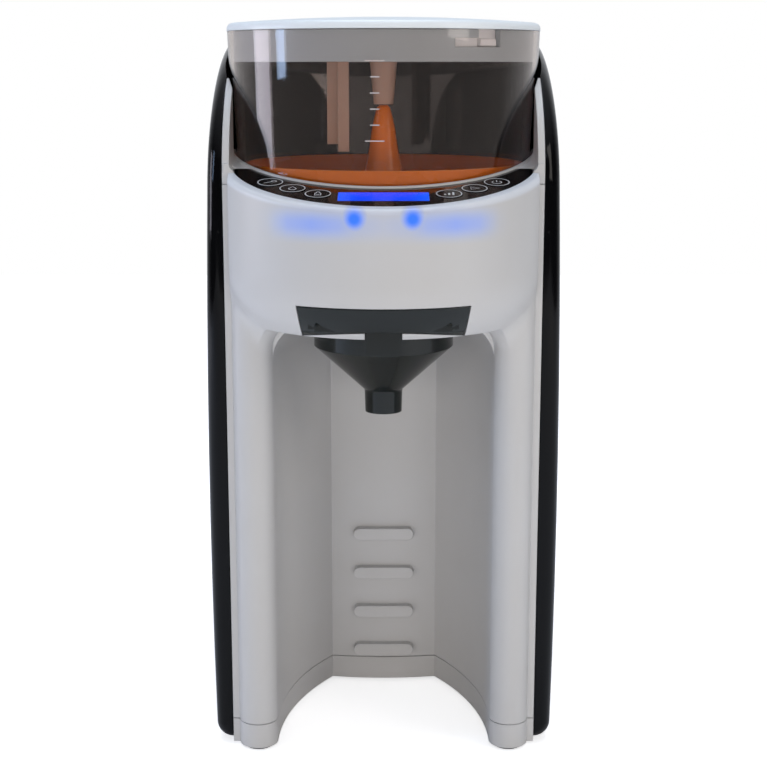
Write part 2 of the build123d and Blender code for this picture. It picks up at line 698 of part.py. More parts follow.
def drive_gear():
    """Gear under the bowl with the hexagonal dog that turns the wheel."""
    body = gear(drive_teeth) + prism(hexagon(hex_across), gear_low + gear_thickness, hex_top)
    return body - disc(axle_radius + run_fit, gear_low - past, axle_top + fit_gap)


def idler_gear():
    """Idler between the drive gear and the motor's pinion."""
    turn = 90 + 180 / idler_teeth if idler_teeth % 2 == 0 else 90
    body = Rot(0, 0, turn) * gear(idler_teeth)
    body -= disc(axle_radius + run_fit, gear_low - past, gear_low + gear_thickness + past)
    return Pos(0, idler_y, 0) * body


def motor_pinion():
    """Pinion on the motor's shaft."""
    body = Rot(0, 0, 90) * gear(pinion_teeth)
    body += disc(motor_shaft, plate_low - motor_height / 4, gear_low)
    return Pos(0, pinion_y, 0) * body


def gearbox_plate():
    """Plate that carries both gear axles, hung from the bowl seat by four posts."""
    top, x = gear_low - past, plate_half_width - 4 * past
    back = pinion_y + motor_radius - 4 * past
    plan = RectangleRounded(2 * plate_half_width, back - plate_front, 8 * past)
    plate = prism(Pos(0, (back + plate_front) / 2) * plan, plate_low, top)
    plate += disc(axle_radius, top - past, axle_top)
    plate += disc(axle_radius, top - past, gear_low + gear_thickness + past, 0, idler_y)
    for y in (plate_front + 6 * past, back - 6 * past):
        for side in (-1, 1):
            plate += disc(board_post_radius, top - past, seat_low, side * x, y)
    return plate - disc(motor_radius / 3, plate_low - past, gear_low, 0, pinion_y)


def gear_motor():
    """Motor hanging under the gearbox plate, with its shaft boss and end cap."""
    low = plate_low - motor_height
    body = disc(motor_radius, low, plate_low, 0, pinion_y)
    body += disc(2 * motor_radius / 3, low - motor_radius / 4, low, 0, pinion_y)
    bore_low = plate_low - motor_height / 4 - past
    return body - disc(motor_shaft + run_fit, bore_low, plate_low + past, 0, pinion_y)


def lid_cap():
    """Round lid with a softly crowned top, a plug skirt and three bayonet lugs."""
    edge, shoulder = bowl_top_radius, total_height - lid_crown
    face = make_face([
        ThreePointArc((edge, shoulder), (edge / 2, total_height - lid_crown / 4),
                      (0, total_height)),
        Polyline((0, total_height), (0, lid_low), (edge, lid_low), (edge, shoulder)),
    ])
    lid = revolve(Plane.XZ * face, Axis.Z)
    rims = lid.edges().filter_by(lambda item: item.length > 6 * edge)
    lid = fillet(rims.sort_by(Axis.Z)[-1], lid_edge)
    skirt = lid_skirt_radius
    lid += tube(skirt, skirt - lid_skirt_wall, lid_low - lid_skirt_depth, lid_low)
    lid -= tube(skirt + past, skirt - seal_depth, seal_low, seal_low + seal_height)
    for start in lug_angles():
        lid += sector(skirt + lug_reach, skirt - past, start + lug_play, slot_leg - 2 * lug_play,
                      slot_low + fit_gap, slot_low + slot_height - fit_gap)
    return lid


def lid_seal():
    """Silicone ring in the groove of the lid's skirt."""
    skirt = lid_skirt_radius
    inner, play = skirt - seal_depth + run_fit, 2 * run_fit
    return tube(skirt + play, inner, seal_low + play, seal_low + seal_height - play)


def lid_posts():
    """Posts under the lid: one steadies the cone's tip, one breaks up the powder."""
    low, top, plate_low_side = lid_low - post_length, lid_low, lid_low - 2 * past
    plate = disc(2 * post_top_radius, plate_low_side, top)
    centre = turned([(0, low), (post_low_radius, low), (post_top_radius, top - post_taper),
                     (post_top_radius, top), (0, top)])
    half, scraper_low = scraper_width / 2, wheel_rim_height + scraper_gap
    blade = block(scraper_x - half, scraper_x + half, 0, post_wall, scraper_low + scraper_step, top)
    blade += block(scraper_x, scraper_x + half, -2 * post_wall, post_wall, scraper_low, top)
    bridge = block(scraper_x - half, 0, -2 * post_wall, 2 * post_wall, plate_low_side, top)
    return centre + plate + blade + bridge


# ---------------------------------------------------------------- powder and water outlet
def powder_chute():
    """Tapered chute from the bowl seat down to the funnel."""
    low, thick = nose_lip_height + seam, chute_wall
    wide, flange = chute_radius + chute_flange_width, seat_low - chute_flange
    return turned([
        (chute_radius, seat_low), (wide, seat_low), (wide, flange), (chute_radius + thick, flange),
        (chute_low_radius + thick, low), (chute_low_radius, low),
    ], 0, funnel_y)


def water_nozzle():
    """Downward water jet beside the chute, held by a clip ring round it."""
    low, inlet_z = nose_lip_height + seam, nozzle_top - chute_wall - spigot_radius / 2
    ring, grip = chute_radius + past, (ceiling_top + nozzle_top) / 2
    body = disc(nozzle_radius, low, nozzle_top, nozzle_x, nozzle_y)
    body += tube(ring + 1.5 * nozzle_radius, ring, grip - chute_wall, grip + chute_wall, 0, funnel_y)
    body += lying(spigot_radius, nozzle_x, nozzle_y - spigot_length / 2, inlet_z, spigot_length)
    return body - disc(nozzle_bore, low - past, inlet_z, nozzle_x, nozzle_y)


def funnel_rails():
    """Pair of guide rails that the funnel cover slides in."""
    outer, inner = runner_x + runner_width / 2, runner_x
    top, over = runner_low + runner_height + wall, runner_low + runner_height + fit_gap
    rail = block(outer + fit_gap, outer + wall, rail_front, runner_back, ceiling_top, top)
    rail += block(inner, outer + wall, rail_front, runner_back, over, top)
    return [rail, mirror(rail, Plane.YZ)]


def funnel_switch():
    """Micro switch behind the right runner that senses the funnel."""
    front, high = runner_back + 4 * seam, runner_low + runner_height
    body = block(runner_x - 5, runner_x + 5, front, front + 12, ceiling_top, high - past)
    return body + block(runner_x - past, runner_x + past, runner_back + seam, front,
                        runner_low + past, high - 2 * past)


def funnel_cover():
    """Sliding cover: curved front band, two runners and a tie plate over the ceiling."""
    band = nose_solid() - nose_solid(wall, 0)
    band &= extrude(Plane.XZ * band_outline(seam), 2 * nose_reach)
    cover = band & block(-nose_radius, nose_radius, -far, -nose_reach / 2, 0, far)
    half, tie_low = runner_width / 2, ceiling_top + seam
    for x in (-runner_x, runner_x):
        cover += block(x - half, x + half, runner_front, runner_back, runner_low,
                       runner_low + runner_height)
    return cover + block(-runner_x, runner_x, runner_front - wall, funnel_y - funnel_ring_radius,
                         tie_low, tie_low + tie_thickness)


def mixing_funnel():
    """Cone under the ceiling with its ring, spout and the neck that hangs it."""
    t, ring, spout = funnel_wall, funnel_ring_radius, spout_radius
    funnel = turned([
        (ring, funnel_ring_top), (ring, funnel_ring_low), (spout + seam, funnel_cone_low),
        (spout, funnel_cone_low - past), (spout - seam, spout_low), (spout - t, spout_low),
        (spout - t, funnel_cone_low), (ring - t, funnel_ring_low + t / 2), (ring - t, funnel_ring_top),
    ], 0, funnel_y)
    neck_top, middle = ceiling_top + seam, (funnel_ring_low + funnel_ring_top) / 2
    return funnel + block(-neck_half, neck_half, runner_front - funnel_wall,
                          funnel_y - ring + t - seam, middle, neck_top)


def light_guide():
    """Arc of clear plastic behind the nose that glows below the deck."""
    outer, high = nose_radius - wall - 2 * run_fit, deck_front_height - glow_low + glow_height
    arc = sector(outer, outer - glow_depth, -52, 104, high - glow_height, high)
    return Pos(0, nose_y, 0) * arc


# ---------------------------------------------------------------- water tank and dock
def tank_dock():
    """Rear base that the tank stands in, with the valve socket in its tray."""
    low = foot_height
    dock = prism(tank_outline(dock_inset), low, dock_top)
    dock += block(-core_half_width, core_half_width, flank_back + seam,
                  tank_front + dock_inset + past, low, dock_top)
    dock -= prism(tank_outline(dock_inset + dock_wall), low - past, tank_foot - dock_wall)
    for side in (-1, 1):
        dock += disc(foot_radius + past, low, tank_foot, side * rear_foot_x, rear_foot_y)
    dock -= prism(tank_outline(dock_inset + dock_lip), tank_foot, dock_top + past)
    dock += disc(valve_radius + 2 * dock_wall, socket_low - 2 * past, tank_foot, 0, valve_y)
    dock -= disc(valve_radius, socket_low, dock_top + past, 0, valve_y)
    dock -= disc(hose_radius + run_fit, 0, socket_low + past, 0, valve_y)
    dock -= block(-hose_notch, hose_notch, flank_back, tank_front + 2 * dock_wall, 0,
                  tank_foot - 2 * dock_wall)
    return dock - lying(gland_radius, gland_x, back_reach, gland_z, 3 * gland_length)


def cord_gland():
    """Flanged bushing where a mains lead enters the dock."""
    face = back_reach - dock_inset
    body = lying(gland_radius - run_fit, gland_x, face - gland_length / 2, gland_z, gland_length)
    body += lying(gland_radius + 2 * dock_inset, gland_x, face + dock_inset / 2, gland_z, dock_inset)
    return body - lying(gland_bore, gland_x, face, gland_z, 3 * gland_length)


def dock_seal():
    """Rubber ring in the dock socket that grips the tank's spigot."""
    low = socket_low + pin_plate
    return tube(valve_radius - 2 * run_fit, socket_radius + seam, low, low + socket_radius / 2,
                0, valve_y)


def dock_pin():
    """Upright pin in the socket that lifts the tank's valve."""
    low, top, bolt_circle = socket_low, socket_low + pin_plate, valve_radius * 0.38
    body = disc(valve_radius - 2 * run_fit, low, top, 0, valve_y)
    body += disc(pin_radius, low, plunger_low - seam, 0, valve_y)
    for angle in (90, 210, 330):
        turn = radians(angle)
        body -= disc(pin_radius, low - past, top + past, bolt_circle * cos(turn),
                     valve_y + bolt_circle * sin(turn))
    return body


def tank_shell():
    """Smoky water tank, open at the top, with a valve seat in its floor."""
    foot_inset = dock_inset + dock_lip + fit_gap
    step, inner, rear = dock_top + fit_gap, tank_inset + tank_wall, hinge_y - hinge_radius / 2
    tank = prism(tank_outline(foot_inset), tank_foot, step + past)
    tank += prism(tank_outline(tank_inset), step, tank_rim)
    tank -= prism(tank_outline(foot_inset + tank_wall), tank_foot + tank_wall, step + inner)
    tank -= prism(tank_outline(inner), step + tank_wall, tank_rim + past)
    bridge = prism(tank_outline(tank_inset), tank_rim - tank_wall, lid_plate_top)
    tank += bridge & block(-far, far, rear, far, 0, far)
    for x in (-ear_x, ear_x):
        side = ear_width / 2
        tank += block(x - side, x + side, rear + seam, hinge_y + hinge_radius, lid_plate_top, hinge_z)
        tank += crosswise(hinge_radius, x, hinge_y, hinge_z, ear_width)
    tank -= crosswise(hinge_pin_radius + run_fit, 0, hinge_y, hinge_z, 3 * ear_x)
    return tank - disc(valve_bore + tank_inset + past + run_fit, tank_foot - past,
                       tank_foot + tank_wall + past, 0, valve_y)


def tank_valve():
    """Valve body screwed through the tank floor, with its spigot below."""
    low, floor = socket_low + pin_plate + tank_inset, tank_foot + tank_wall
    body = disc(socket_radius, low, tank_foot, 0, valve_y)
    body += disc(valve_bore + tank_inset + past, tank_foot, floor, 0, valve_y)
    body += disc(valve_bore + 4 * past, floor, floor + 2 * past, 0, valve_y)
    body -= disc(valve_bore, seat_height, floor + 3 * past, 0, valve_y)
    return body - disc(0.75 * valve_bore, low - past, seat_height + past, 0, valve_y)


def valve_plunger():
    """Sprung plunger that shuts the spigot when the tank is lifted out."""
    disc_low = seat_height + valve_open
    body = disc(valve_bore - fit_gap, disc_low, disc_low + pin_plate, 0, valve_y)
    return body + disc(plunger_radius, plunger_low, plunger_low + plunger_height - wall, 0, valve_y)


def tank_lid():
    """Flat lid that plugs the tank's mouth and swings up on a rear hinge."""
    low, inner = tank_rim + tank_lid_gap, tank_inset + tank_wall + tank_inset
    front = hinge_y - 2 * hinge_radius
    lid = prism(tank_outline(tank_inset), low, lid_plate_top)
    lid &= block(-far, far, 0, hinge_y - hinge_radius / 2 - seam, 0, far)
    lid = fillet(lid.edges().group_by(Axis.Z)[-1], tank_lid_thickness * 0.4)
    plug = prism(tank_outline(inner) - tank_outline(inner + tank_wall), tank_rim - tank_wall, low)
    lid += plug & block(-far, far, 0, front, 0, far)
    half = ear_x - ear_width / 2 - past
    lid += crosswise(hinge_radius - seam, 0, hinge_y, hinge_z, 2 * half)
    lid += block(-half, half, front, hinge_y, lid_plate_top + 2 * seam, hinge_z)
    lid += block(-half, half, front, hinge_y - hinge_radius / 2 - 2 * seam, lid_plate_top - past,
                 lid_plate_top + past)
    return lid - crosswise(hinge_pin_radius + run_fit, 0, hinge_y, hinge_z, 3 * ear_x)


def hinge_pin():
    """Steel pin through the tank's ears and the lid's knuckle."""
    return crosswise(hinge_pin_radius, 0, hinge_y, hinge_z, 2 * ear_x + ear_width + 2 * past)


# ---------------------------------------------------------------- water path and electrics
def hose(points, radii):
    """Hollow hose along straight runs joined by arcs."""
    path = FilletPolyline(*points, radius=radii)
    ring = Circle(hose_radius) - Circle(hose_bore)
    start = Plane(origin=path @ 0, z_dir=path % 0)
    return sweep(start * ring, path=path)


def water_pump():
    """Upright motor pump with its head below and two spigots."""
    half, head_top = pump_head_half, pump_low + pump_head
    body = disc(pump_radius, head_top, pump_top, pump_x, pump_y)
    body += block(pump_x - half, pump_x + half, pump_y - half, pump_y + half, pump_low, head_top)
    reach = half + spigot_length / 2 - past
    body += crosswise(spigot_radius, pump_x - reach, pump_y, pump_low + pump_head / 3, spigot_length)
    return body + lying(spigot_radius, pump_x, pump_y - reach, pump_low + 2 * pump_head / 3,
                        spigot_length)


def pump_mount():
    """Rubber pad between pump and base tray."""
    low, side = foot_height + tray_floor, 2 * pump_head_half + 4 * past
    pad = prism(Pos(pump_x, pump_y) * RectangleRounded(side, side, 4 * past), low, pump_low)
    return pad - disc(pump_head_half / 2, low - past, pump_low + past, pump_x, pump_y)


def water_heater():
    """Flow-through heater with domed ends and two spigots."""
    body = disc(heater_radius, heater_low, heater_top, heater_x, heater_y)
    body = fillet(body.edges(), heater_radius / 4)
    for z in (heater_low - 0.75 * spigot_length, heater_top + 0.75 * spigot_length):
        body += disc(spigot_radius, z - spigot_length, z + spigot_length, heater_x, heater_y)
    return body


def heater_bracket():
    """Sheet metal strap round the heater, fixed to the back wall."""
    middle, half, sheet = (heater_low + heater_top) / 2, heater_length / 10, run_fit + 1.5 * past
    strap = tube(heater_radius + sheet, heater_radius + run_fit, middle - half, middle + half,
                 heater_x, heater_y)
    arm = block(heater_x - half, heater_x + half, heater_y + heater_radius + past / 2,
                flank_back - wall, middle - half, middle + half)
    return strap + arm


def main_board():
    """Power and control circuit board on four bosses of the back wall."""
    back = flank_back - wall - main_board_gap
    return block(board_x - board_w / 2, board_x + board_w / 2, back - board_thickness, back,
                 board_z, board_z + board_h)


def board_parts():
    """Transformer, relay, capacitors and connectors on the main board."""
    face = flank_back - wall - main_board_gap - board_thickness
    parts = []
    for x, z, w, h, d in ((24, 20, 26, 22, 18), (24, 48, 18, 14, 12), (-30, 14, 12, 8, 6),
                          (-12, 14, 12, 8, 6), (-28, 60, 14, 10, 3)):
        x0, z0 = board_x + x - w / 2, board_z + z - h / 2
        parts.append(block(x0, x0 + w, face - d, face, z0, z0 + h))
    for x in (0, 10):
        parts.append(lying(4, board_x + x, face - 7, board_z + 40, 14))
    return parts


def tank_hose():
    """Hose from the dock socket, under the dock and up to the pump's inlet."""
    z, end = pump_low + pump_head / 3, pump_x - pump_head_half
    return hose([(0, valve_y, socket_low - tank_inset), (0, valve_y, feed_height),
                 (0, flank_back - 10, feed_height), (end - 30, pump_y, z), (end - past, pump_y, z)],
                [5.0, 12.0, 7.0])


def heater_hose():
    """Hose from the pump's outlet, behind the bay, up to the heater."""
    y, z = pump_y - pump_head_half - past, pump_low + 2 * pump_head / 3
    return hose([(pump_x, y, z), (pump_x, y - 12, z), (heater_x, y - 12, heater_low / 2),
                 (heater_x, heater_y, 0.7 * heater_low), (heater_x, heater_y, heater_low - past)],
                [6.0, 14.0, 12.0])


def nozzle_hose():
    """Hose from the heater, over the funnel rails, to the nozzle's inlet."""
    z, turn = nozzle_top - chute_wall - spigot_radius / 2, nozzle_y - 26
    return hose([(heater_x, heater_y, heater_top + past), (heater_x, heater_y, z),
                 (heater_x, turn, z), (nozzle_x, turn, z),
                 (nozzle_x, nozzle_y - nozzle_radius - 0.8, z)], [12.0, 12.0, 12.0])


# ---------------------------------------------------------------- write every piece
def save_all():
    right = flank()
    pieces = {
        "front_housing": front_housing(), "base_tray": base_tray(), "top_bezel": top_bezel(),
        "right_side_panel": right, "left_side_panel": mirror(right, Plane.YZ),
        "rear_housing": rear_housing(), "tank_dock": tank_dock(),
        "control_fascia": control_fascia(), "display_window": display(),
        "control_board": control_board(), "light_guide": light_guide(),
        "gearbox_plate": gearbox_plate(), "gear_motor": gear_motor(),
        "drive_gear": drive_gear(), "idler_gear": idler_gear(), "motor_pinion": motor_pinion(),
        "powder_chute": powder_chute(), "water_nozzle": water_nozzle(),
        "funnel_switch": funnel_switch(), "funnel_cover": funnel_cover(),
        "mixing_funnel": mixing_funnel(), "bowl_shell": bowl_shell(),
        "bowl_collar": bowl_collar(), "powder_wheel": powder_wheel(), "lid_cap": lid_cap(),
        "lid_seal": lid_seal(), "lid_posts": lid_posts(), "cord_gland": cord_gland(),
        "dock_seal": dock_seal(), "dock_pin": dock_pin(), "tank_shell": tank_shell(),
        "tank_valve": tank_valve(), "valve_plunger": valve_plunger(), "tank_lid": tank_lid(),
        "tank_hinge_pin": hinge_pin(), "water_pump": water_pump(), "pump_mount": pump_mount(),
        "water_heater": water_heater(), "heater_bracket": heater_bracket(),
        "main_board": main_board(), "tank_hose": tank_hose(), "heater_hose": heater_hose(),
        "nozzle_hose": nozzle_hose(),
    }
    groups = {"base_screws": base_screws(), "rubber_feet": rubber_feet(),
              "key_switches": key_switches(), "funnel_rails": funnel_rails(),
              "board_parts": board_parts()}
    for name, place in key_places.items():
        pieces[name] = key(place)
    for name, solids in groups.items():
        pieces[name] = Compound(children=[Part(solid.wrapped) for solid in solids])
    for name, shape in pieces.items():
        save(shape, name)


save_all()
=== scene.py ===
import math

import bmesh
import bpy
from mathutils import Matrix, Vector


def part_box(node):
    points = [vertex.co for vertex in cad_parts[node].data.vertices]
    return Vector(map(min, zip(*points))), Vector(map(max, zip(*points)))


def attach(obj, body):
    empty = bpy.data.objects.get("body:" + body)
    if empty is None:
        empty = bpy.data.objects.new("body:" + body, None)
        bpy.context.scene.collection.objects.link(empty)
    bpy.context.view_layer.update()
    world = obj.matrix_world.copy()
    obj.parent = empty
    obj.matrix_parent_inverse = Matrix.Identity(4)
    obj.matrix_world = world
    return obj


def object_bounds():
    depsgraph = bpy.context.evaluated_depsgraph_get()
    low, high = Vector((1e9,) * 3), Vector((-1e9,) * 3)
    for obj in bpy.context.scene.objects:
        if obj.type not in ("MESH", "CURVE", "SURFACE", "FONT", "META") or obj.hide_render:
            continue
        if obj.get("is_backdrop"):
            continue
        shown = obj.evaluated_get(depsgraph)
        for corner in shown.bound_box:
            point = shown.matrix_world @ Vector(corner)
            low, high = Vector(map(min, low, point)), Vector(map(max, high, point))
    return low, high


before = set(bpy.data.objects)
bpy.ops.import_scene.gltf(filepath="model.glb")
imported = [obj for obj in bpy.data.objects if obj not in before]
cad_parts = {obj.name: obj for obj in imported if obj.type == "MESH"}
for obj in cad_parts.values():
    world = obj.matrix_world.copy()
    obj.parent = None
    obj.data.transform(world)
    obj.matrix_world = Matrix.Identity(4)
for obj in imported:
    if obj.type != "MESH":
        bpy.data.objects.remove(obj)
cad_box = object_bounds()

# ------------------------------------------------------------------ studio
# A white table in front of a white cloth, in a room that is dim on the viewer's side. Tall
# softboxes stand left and right, so that drums and rounded corners show long upright lights.
mm = 0.001


def linear(hex_colour):
    """An sRGB hex colour as the linear colour that a shader socket takes."""
    channels = [int(hex_colour[i:i + 2], 16) / 255 for i in (1, 3, 5)]
    return tuple(c / 12.92 if c <= 0.04045 else ((c + 0.055) / 1.055) ** 2.4
                 for c in channels) + (1.0,)


def add_node(tree, kind, feeds=None, **settings):
    """Adds a node. feeds maps each input to its value or to the output that feeds it."""
    made = tree.nodes.new(kind)
    for name, value in settings.items():
        setattr(made, name, value)
    for socket, value in (feeds or {}).items():
        if isinstance(value, bpy.types.NodeSocket):
            tree.links.new(value, made.inputs[socket])
        else:
            made.inputs[socket].default_value = value
    return made


def new_material(name):
    """An empty material, its node tree and its output."""
    material = bpy.data.materials.new(name)
    material.use_nodes = True
    material.node_tree.nodes.clear()
    return material, material.node_tree, add_node(material.node_tree, "ShaderNodeOutputMaterial")


scene = bpy.context.scene
scene.view_settings.view_transform = "Standard"
world = bpy.data.worlds.new("studio_room")
world.use_nodes = True
room = world.node_tree
room.nodes.clear()
toward = add_node(room, "ShaderNodeTexCoord")
axes = add_node(room, "ShaderNodeSeparateXYZ", {0: toward.outputs["Generated"]})
near_wall, far_wall, roof = 0.05, 0.7, 0.75
depth = add_node(room, "ShaderNodeMapRange", {0: axes.outputs["Y"], 1: 0.1, 2: 0.8,
                                              3: near_wall, 4: far_wall})
ceiling = add_node(room, "ShaderNodeMapRange", {0: axes.outputs["Z"], 1: 0.3, 2: 1.0,
                                                3: 0.0, 4: roof})
level = add_node(room, "ShaderNodeMath", {0: depth.outputs[0], 1: ceiling.outputs[0]},
                 operation="MAXIMUM")
walls = add_node(room, "ShaderNodeBackground", {"Color": linear("#EDF0F6"),
                                                "Strength": level.outputs[0]})
cloth = add_node(room, "ShaderNodeBackground", {"Color": (1, 1, 1, 1), "Strength": 1.0})
ray = add_node(room, "ShaderNodeLightPath")
direct = add_node(room, "ShaderNodeMath", {0: ray.outputs["Is Camera Ray"],
                                           1: ray.outputs["Is Transmission Ray"]},
                  operation="MAXIMUM")
shown = add_node(room, "ShaderNodeMixShader", {0: direct.outputs[0], 1: walls.outputs[0],
                                               2: cloth.outputs[0]})
add_node(room, "ShaderNodeOutputWorld", {"Surface": shown.outputs[0]})
scene.world = world

# The table is plain laminate. To the eye it gets the light of the cloth behind it as well.
table_half, table_lift = 1.6, 0.68
floor_mesh = bpy.data.meshes.new("table_top")
floor_mesh.from_pydata([(x * table_half, y * table_half, 0)
                        for x, y in ((-1, -1), (1, -1), (1, 1), (-1, 1))], [], [(0, 1, 2, 3)])
floor = bpy.data.objects.new("table_top", floor_mesh)
scene.collection.objects.link(floor)
laminate, tree, out = new_material("table_laminate_white")
ray = add_node(tree, "ShaderNodeLightPath")
eyes = add_node(tree, "ShaderNodeMath", {0: ray.outputs["Is Camera Ray"],
                                         1: ray.outputs["Is Transmission Ray"]},
                operation="MAXIMUM")
lift = add_node(tree, "ShaderNodeMath", {0: eyes.outputs[0], 1: table_lift},
                operation="MULTIPLY")
board = add_node(tree, "ShaderNodeBsdfDiffuse", {"Color": linear("#F6F6F8")})
glow = add_node(tree, "ShaderNodeEmission", {"Strength": lift.outputs[0]})
both = add_node(tree, "ShaderNodeAddShader", {0: board.outputs[0], 1: glow.outputs[0]})
tree.links.new(both.outputs[0], out.inputs["Surface"])
floor_mesh.materials.append(laminate)
floor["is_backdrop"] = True

# Place, aim and size are in metres, power in watts. The wide front light fills the bottle bay
# and is kept out of reflections, so that the clear bowl stays clear.
for name, place, aim, size, painted_glow_power, tone in (
        ("softbox_left", (-1.42, 0.14, 0.38), (0, 0, 0.3), (0.42, 0.5), 3.0, "#F2F0FF"),
        ("cool_strip", (-1.45, -0.36, 0.54), (0, 0, 0.3), (0.2, 0.6), 3.0, "#BAD6FF"),
        ("softbox_right", (1.25, -0.95, 0.75), (0, 0, 0.2), (0.5, 1.0), 4.6, "#FFFAF4"),
        ("front_fill", (-0.1, -2.0, 0.1), (0, 0, 0.12), (2.6, 0.4), 17.5, "#FFF8F0"),
        ("overhead", (0, 0.1, 1.6), (0, 0, 0.3), (1.0, 1.0), 10.0, "#DCECFF")):
    lamp = bpy.data.lights.new(name, "AREA")
    lamp.shape = "RECTANGLE"
    lamp.size, lamp.size_y = size
    lamp.energy = painted_glow_power
    lamp.color = linear(tone)[:3]
    holder = bpy.data.objects.new(name, lamp)
    holder.location = place
    holder.rotation_euler = (Vector(aim) - Vector(place)).to_track_quat("-Z", "Y").to_euler()
    holder.visible_glossy = holder.visible_transmission = name != "front_fill"
    scene.collection.objects.link(holder)

# A long lens looks slightly down on the object.
camera_tilt = 11.81
lens = bpy.data.cameras.new("camera")
lens.lens, lens.sensor_width = 71.7, 36.0
camera = bpy.data.objects.new("camera", lens)
camera.location = (0, -0.7988, 0.3273)
camera.rotation_euler = (math.radians(90 - camera_tilt), 0, 0)
scene.collection.objects.link(camera)
scene.camera = camera


# ------------------------------------------------------------------ front housing
# Nose, columns and bottle bay are one moulding in white ABS with a fine spark-eroded satin.
# A blue light guide stands close behind the nose; the glow of its LEDs through the wall is
# painted light, emitted by the nose's own surface.
def moulded(name, fresh, aged, worn, gloss, grain, relief, edge=0.8 * mm):
    """Injection-moulded plastic. Its tint drifts between two colours over the whole piece, its
    edges are rubbed to a third, and the mould's grain is etched into it. Real grain is about
    0.1 mm; it is drawn at grain (m), the finest that still shows."""
    material, tree, out = new_material(name)
    place = add_node(tree, "ShaderNodeTexCoord").outputs["Object"]
    drift = add_node(tree, "ShaderNodeTexNoise", {"Vector": place, "Scale": 1 / (70 * mm),
                                                  "Detail": 4.0})
    rounded = add_node(tree, "ShaderNodeBevel", {"Radius": edge}, samples=4)
    facing = add_node(tree, "ShaderNodeNewGeometry")
    turn = add_node(tree, "ShaderNodeVectorMath", {0: rounded.outputs[0],
                                                   1: facing.outputs["Normal"]},
                    operation="DOT_PRODUCT")
    rubbed = add_node(tree, "ShaderNodeMapRange", {0: turn.outputs["Value"], 1: 0.995, 2: 0.85,
                                                   3: 0.0, 4: 0.7})
    tint = add_node(tree, "ShaderNodeMix", {0: drift.outputs["Fac"], 6: linear(fresh),
                                            7: linear(aged)}, data_type="RGBA")
    colour = add_node(tree, "ShaderNodeMix", {0: rubbed.outputs[0], 6: tint.outputs[2],
                                              7: linear(worn)}, data_type="RGBA")
    sheen = add_node(tree, "ShaderNodeMapRange", {0: drift.outputs["Fac"], 1: 0.3, 2: 0.7,
                                                  3: gloss[0], 4: gloss[1]})
    etching = add_node(tree, "ShaderNodeTexNoise", {"Vector": place, "Scale": 1 / grain,
                                                    "Detail": 2.0})
    bump = add_node(tree, "ShaderNodeBump", {
        "Height": etching.outputs["Fac"], "Strength": relief, "Distance": 0.1 * mm,
        "Normal": rounded.outputs[0]})
    plastic = add_node(tree, "ShaderNodeBsdfPrincipled", {
        "Base Color": colour.outputs[2], "Roughness": sheen.outputs[0], "IOR": 1.53,
        "Normal": bump.outputs[0]})
    tree.links.new(plastic.outputs[0], out.inputs["Surface"])
    return material, plastic


def finish_nodes(material, *names):
    """Gives CAD nodes their finish in place of the plain stored colour."""
    for name in names:
        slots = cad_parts[name].data.materials
        slots.clear()
        slots.append(material)


# The satin breaks highlights into soft upright bands. Two round blue spots and a paler wash
# beside them are painted glow: the surface emits them and its colour is painted bluer there,
# standing in for the light guide's LEDs. The rim under the deck carries a painted highlight, a
# faint pale blue emission along its top.
satin = dict(fresh="#D3D3D4", aged="#CCCAC8", worn="#DDDEE0", gloss=(0.30, 0.42),
             grain=0.9 * mm, relief=0.10)
white_with_painted_glow, plastic = moulded("abs_satin_white_painted_glow", **satin)
tree = white_with_painted_glow.node_tree
low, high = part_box("light_guide")
# Sizes and levels of the painted LED glow and of the painted rim highlight.
wash_reach, wash_above, wash_below, wash_fade = 56 * mm, 12 * mm, 3 * mm, 9 * mm
turn_start, turn_end = 14 * mm, 28 * mm
led_x, led_z, led_core, led_reach = 12.4 * mm, high.z + 5.2 * mm, 1.2 * mm, 7.5 * mm
rim_depth, rim_fade, painted_rim_level, painted_glow_level = 3.5 * mm, 2 * mm, 0.14, 0.55
place = add_node(tree, "ShaderNodeTexCoord").outputs["Object"]
axes = add_node(tree, "ShaderNodeSeparateXYZ", {0: place})
offset = add_node(tree, "ShaderNodeMath", {0: axes.outputs["X"]}, operation="ABSOLUTE")
across = add_node(tree, "ShaderNodeMapRange", {0: offset.outputs[0], 1: 0.0, 2: wash_reach})
painted_wash_profile = add_node(tree, "ShaderNodeValToRGB", {0: across.outputs[0]})
stops = painted_wash_profile.color_ramp
stops.elements[0].position, stops.elements[0].color = 0.0, (0.18, 0.18, 0.18, 1)
stops.elements[1].position, stops.elements[1].color = 1.0, (0.0, 0.0, 0.0, 1)
for at, value in ((0.20, 0.28), (0.34, 0.50), (0.55, 0.62), (0.74, 0.50), (0.90, 0.08)):
    stops.elements.new(at).color = (value, value, value, 1)
over = add_node(tree, "ShaderNodeMapRange", {
    0: axes.outputs["Z"], 1: high.z + wash_above, 2: high.z + wash_above - wash_fade},
    interpolation_type="SMOOTHSTEP")
under = add_node(tree, "ShaderNodeMapRange", {
    0: axes.outputs["Z"], 1: low.z - wash_below, 2: low.z - wash_below + wash_fade},
    interpolation_type="SMOOTHSTEP")
facing_out = add_node(tree, "ShaderNodeMapRange", {
    0: axes.outputs["Y"], 1: low.y + turn_end, 2: low.y + turn_start})
band = add_node(tree, "ShaderNodeMath", {0: over.outputs[0], 1: under.outputs[0]},
                operation="MULTIPLY")
painted_wash = add_node(tree, "ShaderNodeMath", {0: band.outputs[0], 1: painted_wash_profile.outputs["Color"]},
                 operation="MULTIPLY")
aside = add_node(tree, "ShaderNodeMath", {0: offset.outputs[0], 1: led_x}, operation="SUBTRACT")
above = add_node(tree, "ShaderNodeMath", {0: axes.outputs["Z"], 1: led_z}, operation="SUBTRACT")
from_led = add_node(tree, "ShaderNodeCombineXYZ", {0: aside.outputs[0], 1: above.outputs[0]})
